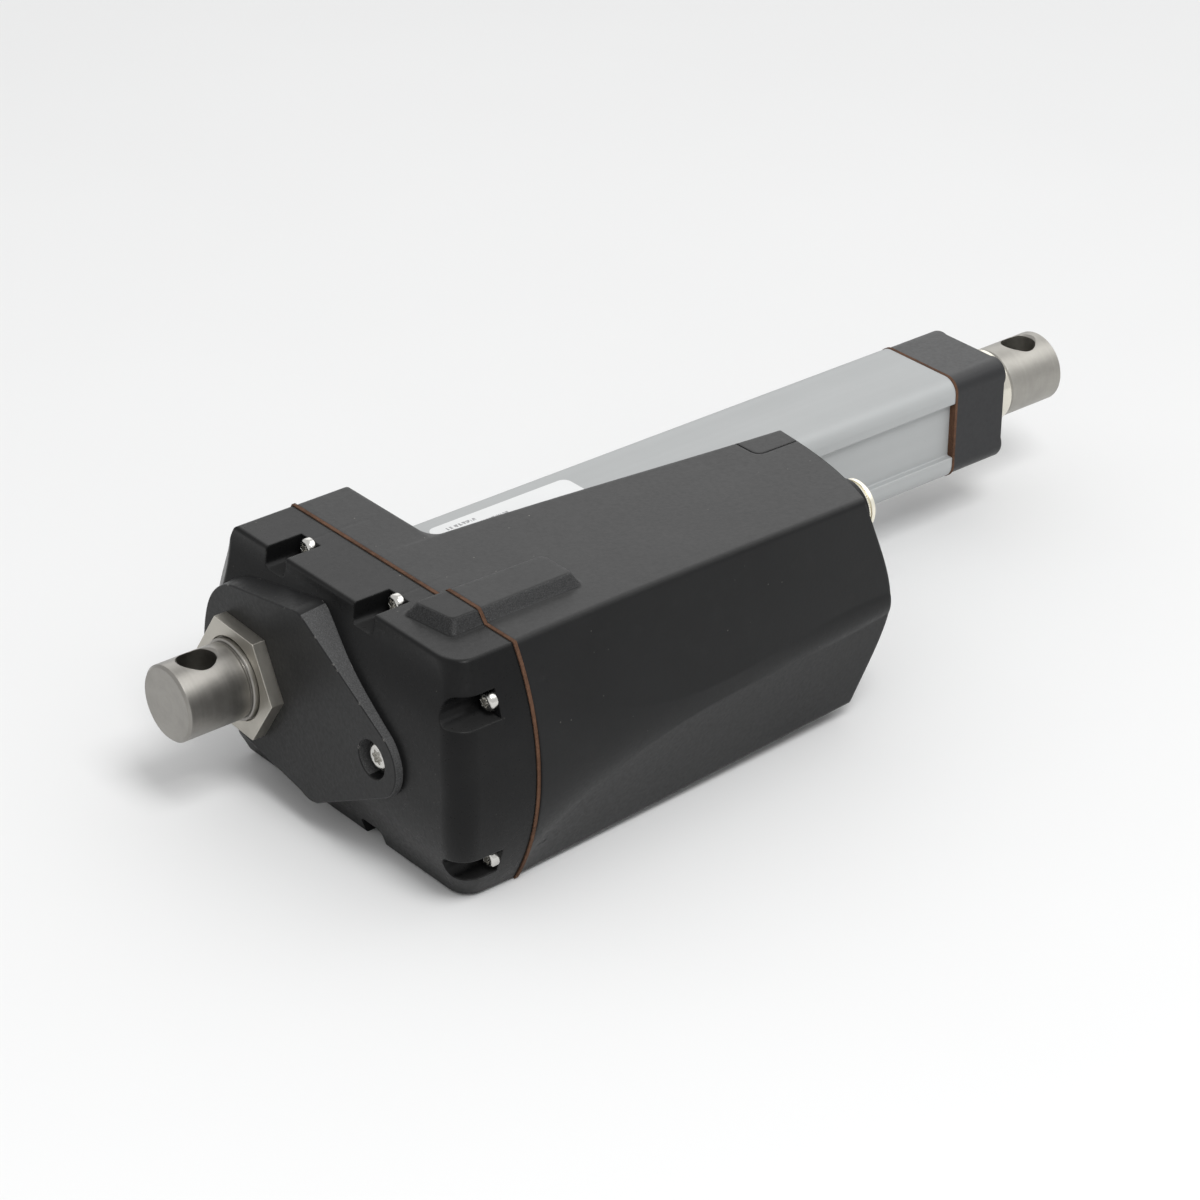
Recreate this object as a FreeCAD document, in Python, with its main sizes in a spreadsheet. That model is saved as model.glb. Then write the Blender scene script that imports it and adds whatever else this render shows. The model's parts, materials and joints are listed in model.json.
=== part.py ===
import FreeCAD, Part
import os
import math
import Sketcher
from FreeCAD import Vector, Placement, Rotation

# Electric linear actuator, 150 mm stroke, 350 mm between pin holes when retracted.
# Frame: origin in the rear eye's pin hole, +X along the rod towards the front eye,
# +Y to the side away from the motor, +Z along both pin holes.

doc = FreeCAD.newDocument("linear_actuator")
sheet = doc.addObject("Spreadsheet::Sheet", "Sizes")

SIZES = [
    # overall lengths along X
    ("pin_to_pin", 350.0), ("stroke", 150.0), ("pin_dia", 12.2), ("eye_dia", 25.0),
    ("rear_eye_end", 11.5), ("rear_eye_len", 22.0), ("front_eye_end", 10.4), ("eye_chamfer", 0.8),
    ("shank_dia", 20.0), ("shank_end", 26.4),
    ("nut_flats", 34.7), ("nut_near", 12.9), ("nut_far", 17.4), ("nut_sink_dia", 27.2), ("nut_turn", 3.4), ("collar_dia", 26.6),
    ("plate_face", 17.4), ("plate_hole_y", -64.1), ("plate_end_r", 12.2), ("cbore_dia", 12.5), ("cbore_depth", 4.2),
    # gearbox
    ("gasket_x", 49.5), ("gasket_thk", 1.2), ("cover_top", 40.5), ("cover_rear", 27.0), ("cover_rear_mid", 20.0),
    ("cover_left", 17.0), ("cover_left_mid", 29.5), ("cover_right", -91.5), ("cover_right_mid", -102.6),
    ("chamber_rear", 26.6), ("chamber_front", 53.0), ("chamber_half", 27.6), ("chamber_right", -80.0), ("web_front", 66.0),
    ("rib_top", 44.3), ("rib_left", -59.9), ("rib_right", -75.2), ("rib_rear", 37.2), ("rib_front", 84.6),
    ("flange_front", 70.5), ("corner_fillet", 8.0),
    ("box_front", 208.0), ("wall_thk", 3.6),
    # tube and rod
    ("tube_size", 38.0), ("tube_corner", 5.5), ("tube_bore", 29.0), ("tube_rear", 63.6), ("tube_front", 300.5),
    ("slot_half", 10.2), ("slot_depth", 2.4),
    ("cap_rear", 301.6), ("cap_front", 324.3), ("cap_size", 37.6), ("cap_pad", 0.9),
    ("rod_dia", 26.0), ("rod_bore", 19.0), ("rod_rear", 88.0), ("rod_front", 335.2), ("fit_gap", 0.05),
    # spindle and gears
    ("centre_dist", 32.0), ("gear_mod", 1.0), ("spindle_teeth", 48), ("idler_small", 16), ("idler_large", 46), ("motor_teeth", 18),
    ("thread_pitch_dia", 14.0), ("journal_dia", 12.0), ("thread_rear", 65.0), ("thread_front", 268.0),
    # motor
    ("motor_y", -64.0), ("motor_dia", 54.0), ("motor_rear", 66.3), ("motor_front", 176.0), ("motor_shaft_dia", 6.0),
    # connector
    ("socket_y", -70.0), ("socket_z", 24.5), ("socket_dia", 16.8), ("socket_end", 206.6),
    # label
    ("label_rear", 94.5), ("label_front", 151.5), ("label_half", 10.0),
]
for i, (name, val) in enumerate(SIZES):
    sheet.set("A%d" % (i + 1), name)
    sheet.set("B%d" % (i + 1), repr(val))
    sheet.setAlias("B%d" % (i + 1), name)
doc.recompute()


def v(name):
    return float(sheet.get(name))


PARTS = []


def register(obj, label):
    obj.Label = label
    PARTS.append(obj)
    return obj


# ---------------------------------------------------------------- sketch-built pieces
def plane(body, role):
    for f in body.Origin.OriginFeatures:
        if f.Role == role:
            return f
    raise ValueError(role)


def axis_feature(body, role):
    return plane(body, role)


def value(e):
    """Number behind a size expression such as 'pin_dia/2'."""
    expr = e
    if not isinstance(expr, str):
        return float(expr)
    total = 0.0
    # small evaluator for sums and products of aliases and numbers
    expr = expr.replace(" ", "")
    terms = []
    cur = ""
    for ch in expr:
        if ch in "+-" and cur and cur[-1] not in "*/":
            terms.append(cur)
            cur = ch
        else:
            cur += ch
    terms.append(cur)
    for t in terms:
        sign = 1.0
        while t and t[0] in "+-":
            if t[0] == "-":
                sign = -sign
            t = t[1:]
        res = None
        op = "*"
        tok = ""
        toks = []
        for ch in t:
            if ch in "*/":
                toks.append(tok)
                toks.append(ch)
                tok = ""
            else:
                tok += ch
        toks.append(tok)
        for k in toks:
            if k in "*/":
                op = k
                continue
            try:
                num = float(k)
            except ValueError:
                num = v(k)
            if res is None:
                res = num
            elif op == "*":
                res *= num
            else:
                res /= num
        total += sign * res
    return total


def sheet_expr(e):
    """The same size expression with every alias pointing at the sheet."""
    if not isinstance(e, str):
        return repr(float(e))
    out = ""
    tok = ""
    for ch in e + " ":
        if ch.isalnum() or ch in "_.":
            tok += ch
        else:
            if tok:
                out += tok if tok.replace(".", "", 1).isdigit() else "Sizes." + tok
                tok = ""
            out += ch
    return out.strip()


def polygon_sketch(body, name, role, pts):
    """Closed polygon whose vertices are held by expressions from the sheet."""
    sk = body.newObject("Sketcher::SketchObject", name)
    sk.AttachmentSupport = (plane(body, role), [""])
    sk.MapMode = "FlatFace"
    vals = [(value(a), value(b)) for a, b in pts]
    n = len(pts)
    for i in range(n):
        a = vals[i]
        b = vals[(i + 1) % n]
        sk.addGeometry(Part.LineSegment(Vector(a[0], a[1], 0), Vector(b[0], b[1], 0)), False)
    for i in range(n):
        sk.addConstraint(Sketcher.Constraint("Coincident", i, 2, (i + 1) % n, 1))
    for i in range(n):
        a = vals[i]
        for k, word in ((0, "DistanceX"), (1, "DistanceY")):
            c = sk.addConstraint(Sketcher.Constraint(word, -1, 1, i, 1, a[k]))
            if isinstance(pts[i][k], str):
                sk.setExpression("Constraints[%d]" % c, sheet_expr(pts[i][k]))
    return sk


def turned(label, pts, y=0.0, z=0.0):
    """Piece turned about the X direction; pts are (x, radius)."""
    body = doc.addObject("PartDesign::Body", label + "_body")
    sk = polygon_sketch(body, label + "_profile", "XY_Plane", pts)
    rev = body.newObject("PartDesign::Revolution", label + "_turn")
    rev.Profile = sk
    rev.ReferenceAxis = (axis_feature(body, "X_Axis"), [""])
    rev.Angle = 360.0
    body.Tip = rev
    body.Placement = Placement(Vector(0, 0, 0), Rotation())
    if isinstance(y, str):
        body.setExpression("Placement.Base.y", sheet_expr(y))
    elif y:
        body.Placement = Placement(Vector(0, y, z), Rotation())
    if isinstance(z, str):
        body.setExpression("Placement.Base.z", sheet_expr(z))
    return register(body, label)


def circle_sketch(body, name, role, cx, cy, rad, offset=None):
    sk = body.newObject("Sketcher::SketchObject", name)
    sk.AttachmentSupport = (plane(body, role), [""])
    sk.MapMode = "FlatFace"
    if offset is not None:
        sk.AttachmentOffset = Placement(Vector(0, 0, value(offset)), Rotation())
    g = sk.addGeometry(Part.Circle(Vector(value(cx), value(cy), 0), Vector(0, 0, 1), value(rad)), False)
    c = sk.addConstraint(Sketcher.Constraint("DistanceX", -1, 1, g, 3, value(cx)))
    if isinstance(cx, str):
        sk.setExpression("Constraints[%d]" % c, sheet_expr(cx))
    c = sk.addConstraint(Sketcher.Constraint("DistanceY", -1, 1, g, 3, value(cy)))
    if isinstance(cy, str):
        sk.setExpression("Constraints[%d]" % c, sheet_expr(cy))
    c = sk.addConstraint(Sketcher.Constraint("Radius", g, value(rad)))
    if isinstance(rad, str):
        sk.setExpression("Constraints[%d]" % c, sheet_expr(rad))
    return sk


def cross_hole(body, label, x_expr, rad_expr):
    """Pin hole along Z through a bar that lies along X, with a small edge chamfer."""
    sk = circle_sketch(body, label + "_hole_sketch", "XY_Plane", x_expr, 0.0, rad_expr)
    poc = body.newObject("PartDesign::Pocket", label + "_hole")
    poc.Profile = sk
    poc.Type = 1
    poc.Midplane = True
    poc.Type = 0
    poc.Length = 60.0
    body.Tip = poc
    doc.recompute()
    return poc


# ---------------------------------------------------------------- shape helpers
def shape_part(label, shape):
    f = doc.addObject("Part::Feature", label + "_shape")
    f.Shape = shape
    return register(f, label)


def cyl(x0, x1, r, y=0.0, z=0.0):
    return Part.makeCylinder(r, x1 - x0, Vector(x0, y, z), Vector(1, 0, 0))


def cone(x0, x1, r0, r1, y=0.0, z=0.0):
    return Part.makeCone(r0, r1, x1 - x0, Vector(x0, y, z), Vector(1, 0, 0))


def block(x0, x1, y0, y1, z0, z1):
    return Part.makeBox(x1 - x0, y1 - y0, z1 - z0, Vector(x0, y0, z0))


def rounded_rect_prism(x0, x1, y0, y1, z0, z1, r):
    s = block(x0, x1, y0, y1, z0, z1)
    es = [e for e in s.Edges if abs(e.BoundBox.XLength - (x1 - x0)) < 1e-6 and e.BoundBox.YLength < 1e-6]
    return s.makeFillet(r, es)


def yz_face(x, edges):
    return Part.Face(Part.Wire(Part.__sortEdges__(edges)))


def seg(x, a, b):
    return Part.makeLine(Vector(x, a[0], a[1]), Vector(x, b[0], b[1]))


def arc(x, a, m, b):
    return Part.Arc(Vector(x, a[0], a[1]), Vector(x, m[0], m[1]), Vector(x, b[0], b[1])).toShape()


def prism_poly(plane_name, pts, a0, a1):
    """Extruded polygon; 'xy' along Z, 'xz' along Y, 'yz' along X."""
    if plane_name == "xy":
        w = [Vector(p[0], p[1], a0) for p in pts]
        d = Vector(0, 0, a1 - a0)
    elif plane_name == "xz":
        w = [Vector(p[0], a0, p[1]) for p in pts]
        d = Vector(0, a1 - a0, 0)
    else:
        w = [Vector(a0, p[0], p[1]) for p in pts]
        d = Vector(a1 - a0, 0, 0)
    w.append(w[0])
    return Part.Face(Part.makePolygon(w)).extrude(d)


def soft_fillet(shape, edges, radii, note):
    """Fillet with the first radius the edges can carry, else edge by edge."""
    for r in radii:
        try:
            s = shape.makeFillet(r, edges)
            if s.isValid() and s.Volume > 0 and len(s.Solids) == 1:
                return s.Solids[0]
        except Exception:
            pass
    out = shape
    done = 0
    for e in edges:
        mid = e.valueAt((e.FirstParameter + e.LastParameter) / 2)
        best = None
        for f in out.Edges:
            m2 = f.valueAt((f.FirstParameter + f.LastParameter) / 2)
            if (m2 - mid).Length < 0.5:
                best = f
                break
        if best is None:
            continue
        for r in radii:
            try:
                s = out.makeFillet(r, [best])
                if s.isValid() and s.Volume > 0 and len(s.Solids) == 1:
                    out = s.Solids[0]
                    done += 1
                    break
            except Exception:
                continue
    print("fillet fallback", note, done, "of", len(edges))
    return out


def pick(shape, test):
    return [e for e in shape.Edges if test(e)]


def bb(e):
    return e.BoundBox


# ---------------------------------------------------------------- gearbox outline
GX = v("gasket_x")
GT = v("gasket_thk")
X_COVER = GX - GT / 2
X_HOUSE = GX + GT / 2
TOP = v("cover_top")
YL, YLM = v("cover_left"), v("cover_left_mid")
YR, YRM = v("cover_right"), v("cover_right_mid")


def outline_face(x, grow=0.0):
    t = TOP + grow
    a, b, c, d = (YL + grow, t), (YR - grow, t), (YR - grow, -t), (YL + grow, -t)
    edges = [seg(x, a, b), arc(x, b, (YRM - grow, 0), c), seg(x, c, d), arc(x, d, (YLM + grow, 0), a)]
    return yz_face(x, edges)


def outline_prism(x0, x1, grow=0.0):
    return outline_face(x0, grow).extrude(Vector(x1 - x0, 0, 0))


def chamber(x0, x1, grow=0.0):
    """Hollow round the gear train."""
    h = v("chamber_half") + grow
    s = rounded_rect_prism(x0, x1, v("chamber_right") - grow, 0.0, -h, h, 9.0)
    return s.fuse(cyl(x0, x1, h)).removeSplitter()


def rib(x0, x1, shrink=0.0):
    """Raised pad along the top of the gearbox, sloped flanks, cut between x0 and x1."""
    zt = v("rib_top")
    zb = TOP - 4.0
    l, r = v("rib_left"), v("rib_right")
    xr, xf = v("rib_rear"), v("rib_front")
    f = 3.4 / 4.0
    dz = zt - zb
    top = Part.makePolygon([Vector(xr, l, zt), Vector(xf, l - 1.4, zt), Vector(xf, r, zt), Vector(xr + 2.6, r, zt), Vector(xr, l, zt)])
    bot = Part.makePolygon([Vector(xr - dz * 0.8, l + dz * 0.6, zb), Vector(xf + dz * 0.5, l - 1.4 + dz * 0.6, zb), Vector(xf + dz * 0.5, r - dz * f, zb), Vector(xr + 2.6 - dz * 0.8, r - dz * f, zb), Vector(xr - dz * 0.8, l + dz * 0.6, zb)])
    s = Part.makeLoft([bot, top], True, True)
    slanted = [e for e in s.Edges if abs(bb(e).ZLength - dz) < 1e-6]
    s = soft_fillet(s, slanted, [3.0, 2.0], "rib corners")
    tops = [e for e in s.Edges if bb(e).ZMin > zt - 1e-6]
    s = soft_fillet(s, tops, [1.2, 0.8], "rib top")
    return s.common(block(x0, x1, -120, 0, 30, 60))


# ---------------------------------------------------------------- rear cover
def rear_profile_solid():
    """Rear face seen from the side: upright near the top and bottom, swelling in the middle."""
    x0, xm, t = v("cover_rear"), v("cover_rear_mid"), TOP + 1
    pts = [(x0, t), (x0 - 0.1, 35.5), (x0 - 1.9, 30.5), (x0 - 4.6, 23.5), (xm + 0.8, 15.5), (xm, 6.0), (xm, 0.0)]
    pts = pts + [(xm, -6.0), (xm + 0.8, -15.5), (x0 - 4.4, -23.5), (x0 - 1.5, -30.5), (x0 + 0.9, -35.5), (x0 + 2.8, -t)]
    bs = Part.BSplineCurve()
    bs.interpolate([Vector(p[0], -130, p[1]) for p in pts])
    e1 = bs.toShape()
    e2 = Part.makeLine(Vector(x0 + 2.8, -130, -t), Vector(80, -130, -t))
    e3 = Part.makeLine(Vector(80, -130, -t), Vector(80, -130, t))
    e4 = Part.makeLine(Vector(80, -130, t), Vector(x0, -130, t))
    return Part.Face(Part.Wire([e1, e2, e3, e4])).extrude(Vector(0, 200, 0))


TOP_SCREWS = [-4.4, -48.7]
SIDE_SCREW_Z = 26.8
SCREW_HEAD_X = 37.2


def left_corner_cutter():
    """Everything outside the sloped left corner of the cover, steeper towards top and bottom."""
    wires = []
    for z, (xa, ya), (xb, yb) in ((-46.0, (24.0, 18.1), (32.0, 29.3)), (-24.0, (23.2, 17.9), (31.0, 29.0)), (0.0, (19.5, 20.5), (27.0, 29.5)),
                                  (24.0, (23.2, 17.9), (31.0, 29.0)), (46.0, (24.0, 18.1), (32.0, 29.3))):
        dx, dy = xb - xa, yb - ya
        k = 1.3
        p, q = (xa - dx * k, ya - dy * k), (xb + dx * k, yb + dy * k)
        w = [Vector(p[0], p[1], z), Vector(q[0], q[1], z), Vector(q[0], 70, z), Vector(-5, 70, z), Vector(-5, p[1], z)]
        wires.append(Part.makePolygon(w + [w[0]]))
    return Part.makeLoft(wires, True, False)


def cover_outer():
    s = outline_prism(10.0, X_COVER).common(rear_profile_solid())
    s = s.Solids[0]
    s = s.cut(left_corner_cutter())
    s = sorted(s.Solids, key=lambda q: -q.Volume)[0]
    corner = pick(s, lambda e: bb(e).ZLength > 70 and bb(e).YMax < -80 and bb(e).XMax < 45)
    s = soft_fillet(s, corner, [8.0, 6.0, 4.0], "cover right corner")
    corner = pick(s, lambda e: bb(e).ZLength > 25 and bb(e).YMin > 5 and bb(e).XMax < 45)
    s = soft_fillet(s, corner, [4.0, 3.0, 2.0, 1.2], "cover left corner")
    rim = pick(s, lambda e: (bb(e).ZMin > TOP - 0.6 or bb(e).ZMax < -TOP + 0.6) and bb(e).XMax < X_COVER - 0.5 + 25 and not (bb(e).XMin > X_COVER - 0.1))
    s = soft_fillet(s, rim, [1.6, 1.2, 0.8], "cover rims")
    return s


def screw_slots():
    """Open slots that give the driver a way to the cover screws."""
    cuts = []
    for y in TOP_SCREWS:
        for sgn in (1, -1):
            z0, z1 = (33.8, 60.0) if sgn > 0 else (-60.0, -33.8)
            c = block(15.0, 40.4, y - 5.0, y + 5.0, z0, z1)
            zf = 33.8 * sgn
            es = pick(c, lambda e: abs(bb(e).ZMin - zf) < 1e-6 and abs(bb(e).ZMax - zf) < 1e-6 and bb(e).YLength < 1e-6)
            c = soft_fillet(c, es, [2.2], "slot floor")
            cuts.append(c)
    for sgn in (1, -1):
        z = SIDE_SCREW_Z * sgn
        c = block(10.0, 38.6, -125.0, -90.2, z - 4.5, z + 4.5)
        es = pick(c, lambda e: abs(bb(e).YMax + 90.2) < 1e-6 and abs(bb(e).YMin + 90.2) < 1e-6 and bb(e).ZLength < 1e-6)
        c = soft_fillet(c, es, [3.7, 3.0], "side slot floor")
        cuts.append(c)
    return cuts


COVER_OUT = cover_outer()
screw_axes = [(y, 37.9 * s) for y in TOP_SCREWS for s in (1, -1)] + [(-94.6, SIDE_SCREW_Z * s) for s in (1, -1)]

cover = COVER_OUT.fuse(rib(20, X_COVER))
cover = cover.removeSplitter().Solids[0] if len(cover.Solids) == 1 else cover.Solids[0]
base_line = pick(cover, lambda e: abs(bb(e).ZMin - TOP) < 0.15 and abs(bb(e).ZMax - TOP) < 0.15 and bb(e).YMax < -55 and bb(e).YMin > -82 and bb(e).XMax < X_COVER + 0.01 and bb(e).XMin > 30)
cover = soft_fillet(cover, base_line, [1.2, 0.8], "cover rib foot")
for c in screw_slots():
    cover = cover.cut(c)
cover = cover.cut(chamber(v("chamber_rear"), 80))
# bosses for the idler shaft and the plate screw, and the bore for the eye shank
cover = cover.fuse(cyl(22.0, 27.4, 9.0, -v("centre_dist"), 0)).fuse(cyl(20.5, 31.5, 10.6, v("plate_hole_y"), 0))
cover = cover.cut(cyl(10, 40, v("shank_dia") / 2))
cover = cover.cut(cyl(23.5, 40, 4.05, -v("centre_dist"), 0))
cover = cover.cut(cyl(10, 24.1, 8.65, v("plate_hole_y"), 0)).cut(cyl(10, 30.6, 2.5, v("plate_hole_y"), 0))
for (y, z) in screw_axes:
    cover = cover.cut(cyl(30, 60, 2.2, y, z))
cover = cover.removeSplitter()
solids = sorted(cover.Solids, key=lambda s: -s.Volume)
cover = solids[0]
shape_part("rear_cover", cover)

# ---------------------------------------------------------------- motor housing casting


def round_corner(p0, p1, p2, r):
    """Tangent points and middle of an arc of radius r that rounds the corner p1."""
    def unit(q):
        d = math.hypot(q[0] - p1[0], q[1] - p1[1])
        return ((q[0] - p1[0]) / d, (q[1] - p1[1]) / d)
    u, w = unit(p0), unit(p2)
    half = math.acos(max(-1.0, min(1.0, u[0] * w[0] + u[1] * w[1]))) / 2
    tlen = r / math.tan(half)
    ta = (p1[0] + u[0] * tlen, p1[1] + u[1] * tlen)
    tb = (p1[0] + w[0] * tlen, p1[1] + w[1] * tlen)
    bis = (u[0] + w[0], u[1] + w[1])
    n = math.hypot(bis[0], bis[1])
    dist = r / math.sin(half) - r
    mid = (p1[0] + bis[0] / n * dist, p1[1] + bis[1] / n * dist)
    return ta, mid, tb


def box_section(x, yl, zt, yr, ym, yrb, zb, ridge, inset=0.0):
    """Box outline: flat top, bottom and left, and a side whose two slopes meet in a rounded ridge at ym."""
    a = (yl - inset, zt - inset)
    b = (yr + inset, zt - inset)
    c = (yrb + inset, zb + inset)
    d = (yl - inset, zb + inset)
    apex = ym + inset
    for i in range(30):
        phi = math.atan2(b[0] - apex, b[1])
        apex = ym + inset - ridge * (1.0 / math.cos(phi) - 1.0)
    ta, mid, tb = round_corner(b, (apex, 0.0), c, ridge)
    return Part.Wire([seg(x, a, b), seg(x, b, ta), arc(x, ta, mid, tb), seg(x, tb, c), seg(x, c, d), seg(x, d, a)])


def lerp(a, b, t):
    return [p + (q - p) * t for p, q in zip(a, b)]


SEC_A = (X_HOUSE, [-23.6, TOP, YR, -103.6, YR + 0.2, -TOP, 68.0])
SEC_M = (84.0, [-25.6, TOP, YR + 0.75, -102.6, YR + 1.2, -TOP + 1.1, 30.0])
SEC_B = (v("box_front"), [-35.0, 38.2, -88.2, -92.6, -86.4, -35.4, 5.0])


def motor_box(x0, x1, inset=0.0):
    def at(x):
        if x <= SEC_M[0]:
            t = (x - SEC_A[0]) / (SEC_M[0] - SEC_A[0])
            return box_section(x, *lerp(SEC_A[1], SEC_M[1], t), inset=inset)
        t = (x - SEC_M[0]) / (SEC_B[0] - SEC_M[0])
        return box_section(x, *lerp(SEC_M[1], SEC_B[1], t), inset=inset)
    stations = [x0] + ([SEC_M[0]] if x0 < SEC_M[0] - 1 else []) + [x1]
    if len(stations) == 3:
        stations = [x0, SEC_M[0], (SEC_M[0] + x1) / 2, x1]
    return Part.makeLoft([at(x) for x in stations], True, len(stations) == 2)


def front_cutter(dx=0.0):
    """Everything ahead of the swept front face of the motor box, a shallow bulged chevron in height."""
    wires = []
    for y, xt, k in ((-125.0, 178.5, 10.4), (-95.0, 188.4, 10.4), (-70.0, 197.3, 10.0), (-45.0, 202.0, 8.4), (-10.0, 206.8, 6.0)):
        p1 = (xt + k + dx, 0.0)
        p0 = (xt + dx - k * 5.6 / 38.4, 44.0)
        p2 = (p1[0] - (k + 3.2) * 44.0 / 38.4, -44.0)
        g = k / 10.4
        m0 = ((p0[0] + p1[0]) / 2 + 1.6 * g, 22.0)
        m2 = ((p2[0] + p1[0]) / 2 + 1.7 * g, -22.0)
        V = lambda p: Vector(p[0], y, p[1])
        bs = Part.BSplineCurve()
        bs.interpolate([V(p0), V(m0), V((p1[0] + 0.7 * g, 0.0)), V(m2), V(p2)])
        wires.append(Part.Wire([bs.toShape(), Part.makeLine(V(p2), Vector(260, y, -44)), Part.makeLine(Vector(260, y, -44), Vector(260, y, 44)), Part.makeLine(Vector(260, y, 44), V(p0))]))
    return Part.makeLoft(wires, True, False)


box = motor_box(X_HOUSE, v("box_front") + 10)
box = box.cut(front_cutter()).Solids[0]
# long edges first, then the rim of the front face
long_edges = pick(box, lambda e: bb(e).XLength > 100 and not (bb(e).YMin < -100 and bb(e).ZMin > -35 and bb(e).ZMax < 35))
box = soft_fillet(box, long_edges, [2.0, 1.6, 1.2], "box long edges")
rim = pick(box, lambda e: bb(e).XMin > 185 and bb(e).XLength < 30 and bb(e).YLength > 40 and (bb(e).ZMin > 30 or bb(e).ZMax < -30))
for e in rim:
    box = soft_fillet(box, [e], [2.0, 1.6, 1.2, 0.8], "box front rim")
rim = pick(box, lambda e: bb(e).XMin > 195 and bb(e).YMin > -42 and bb(e).ZLength > 20)
for e in rim:
    box = soft_fillet(box, [e], [1.6, 1.2, 0.8], "box front left")

flange = outline_prism(X_HOUSE, v("flange_front")).common(block(0, 120, -45, 60, -60, 60))
rim = pick(flange, lambda e: (abs(bb(e).XMin - v("flange_front")) < 1e-6 and bb(e).YMin > -40 or (bb(e).XLength > 15 and bb(e).YMin > 0)) or (abs(bb(e).XMin - v("flange_front")) < 1e-6 and abs(bb(e).ZLength) < 1e-6))
flange = soft_fillet(flange, rim, [1.6, 1.0], "flange rim")
housing = flange.fuse(box)
housing = housing.removeSplitter()
inner = pick(housing, lambda e: bb(e).ZLength > 60 and abs(bb(e).XMin - v("flange_front")) < 0.3 and abs(bb(e).XLength) < 0.5 and -30 < bb(e).YMin < -20)
housing = soft_fillet(housing, inner, [v("corner_fillet"), 6.0, 4.0], "inner corner")
housing = housing.fuse(rib(X_HOUSE, 130)).removeSplitter()
base_line = pick(housing, lambda e: bb(e).ZMin > 39.4 and bb(e).ZMax < TOP + 0.2 and bb(e).YMax < -54 and bb(e).YMin > -82 and bb(e).XMax < 90 and bb(e).XMin > X_HOUSE - 0.01)
housing = soft_fillet(housing, base_line, [1.2, 0.8], "housing rib foot")
housing = housing.Solids[0]
HOUSE_OUT = housing

# insert that closes the front corner of the motor box
ins_x, ins_y, ins_z = 185.0, -45.4, 22.0
corner_zone = block(ins_x, 230, ins_y, 0, ins_z, 60)
ce = pick(corner_zone, lambda e: bb(e).ZLength > 30 and abs(bb(e).XMin - ins_x) < 1e-6 and abs(bb(e).YMin - ins_y) < 1e-6)
corner_zone = corner_zone.makeFillet(3.2, ce)
small_zone = block(ins_x + 0.45, 230, ins_y + 0.45, 0, ins_z + 0.45, 60)
ce = pick(small_zone, lambda e: bb(e).ZLength > 30 and abs(bb(e).XMin - ins_x - 0.45) < 1e-6 and abs(bb(e).YMin - ins_y - 0.45) < 1e-6)
small_zone = small_zone.makeFillet(2.75, ce)
insert = HOUSE_OUT.common(small_zone)
insert = insert.Solids[0]

housing = housing.cut(corner_zone)
# gear chamber, web, motor space
housing = housing.cut(chamber(X_HOUSE - 1, v("chamber_front")))
cavity = motor_box(v("web_front"), v("box_front") + 10, v("wall_thk")).cut(front_cutter(-v("wall_thk")))
cavity = cavity.cut(block(0, 300, -33.0, 60, -60, 60))
# a wall stays behind the insert
cavity = cavity.cut(block(ins_x - 3.0, 230, ins_y - 3.0, 0, ins_z - 3.0, 60))
housing = housing.cut(cavity)
# seats: tube, bearing, spindle way, idler shaft, pinion way, screws, cable socket
ts = v("tube_size") / 2 + 0.02
housing = housing.cut(rounded_rect_prism(v("tube_rear") - 0.1, 100, -ts, ts, -ts, ts, v("tube_corner")))
housing = housing.cut(cyl(v("chamber_front") - 1, v("tube_rear"), 16.0))
housing = housing.cut(cyl(v("chamber_front") - 1, 60.0, 5.0, -v("centre_dist"), 0))
housing = housing.cut(cyl(v("chamber_front") - 1, 80, 12.0, v("motor_y"), 0))
for (y, z) in screw_axes:
    housing = housing.cut(cyl(40, 62 if y > -90 else 57, 1.9, y, z))
housing = housing.fuse(cyl(190, 202.4, 9.6, v("socket_y"), v("socket_z"))).cut(cyl(202.4, 230, 9.6, v("socket_y"), v("socket_z")))
housing = housing.cut(cyl(185, 230, 7.0, v("socket_y"), v("socket_z")))
housing = sorted(housing.Solids, key=lambda s: -s.Volume)[0]
shape_part("motor_housing", housing)
shape_part("housing_insert", insert)

# ---------------------------------------------------------------- gasket between cover and housing
g = outline_prism(X_COVER, X_HOUSE, 0.35)
ribcut = rib(X_COVER, X_HOUSE)
bump = ribcut.copy()
m = FreeCAD.Matrix()
m.move(Vector(0, 0, 0.3))
bump = bump.transformGeometry(m)
g = g.fuse(bump).removeSplitter()
g = g.cut(chamber(0, 80))
for (y, z) in screw_axes:
    g = g.cut(cyl(40, 60, 2.3, y, z))
shape_part("housing_gasket", g.Solids[0])

# ---------------------------------------------------------------- rear plate
PX = v("plate_face")
HY, ER = v("plate_hole_y"), v("plate_end_r")


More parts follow.
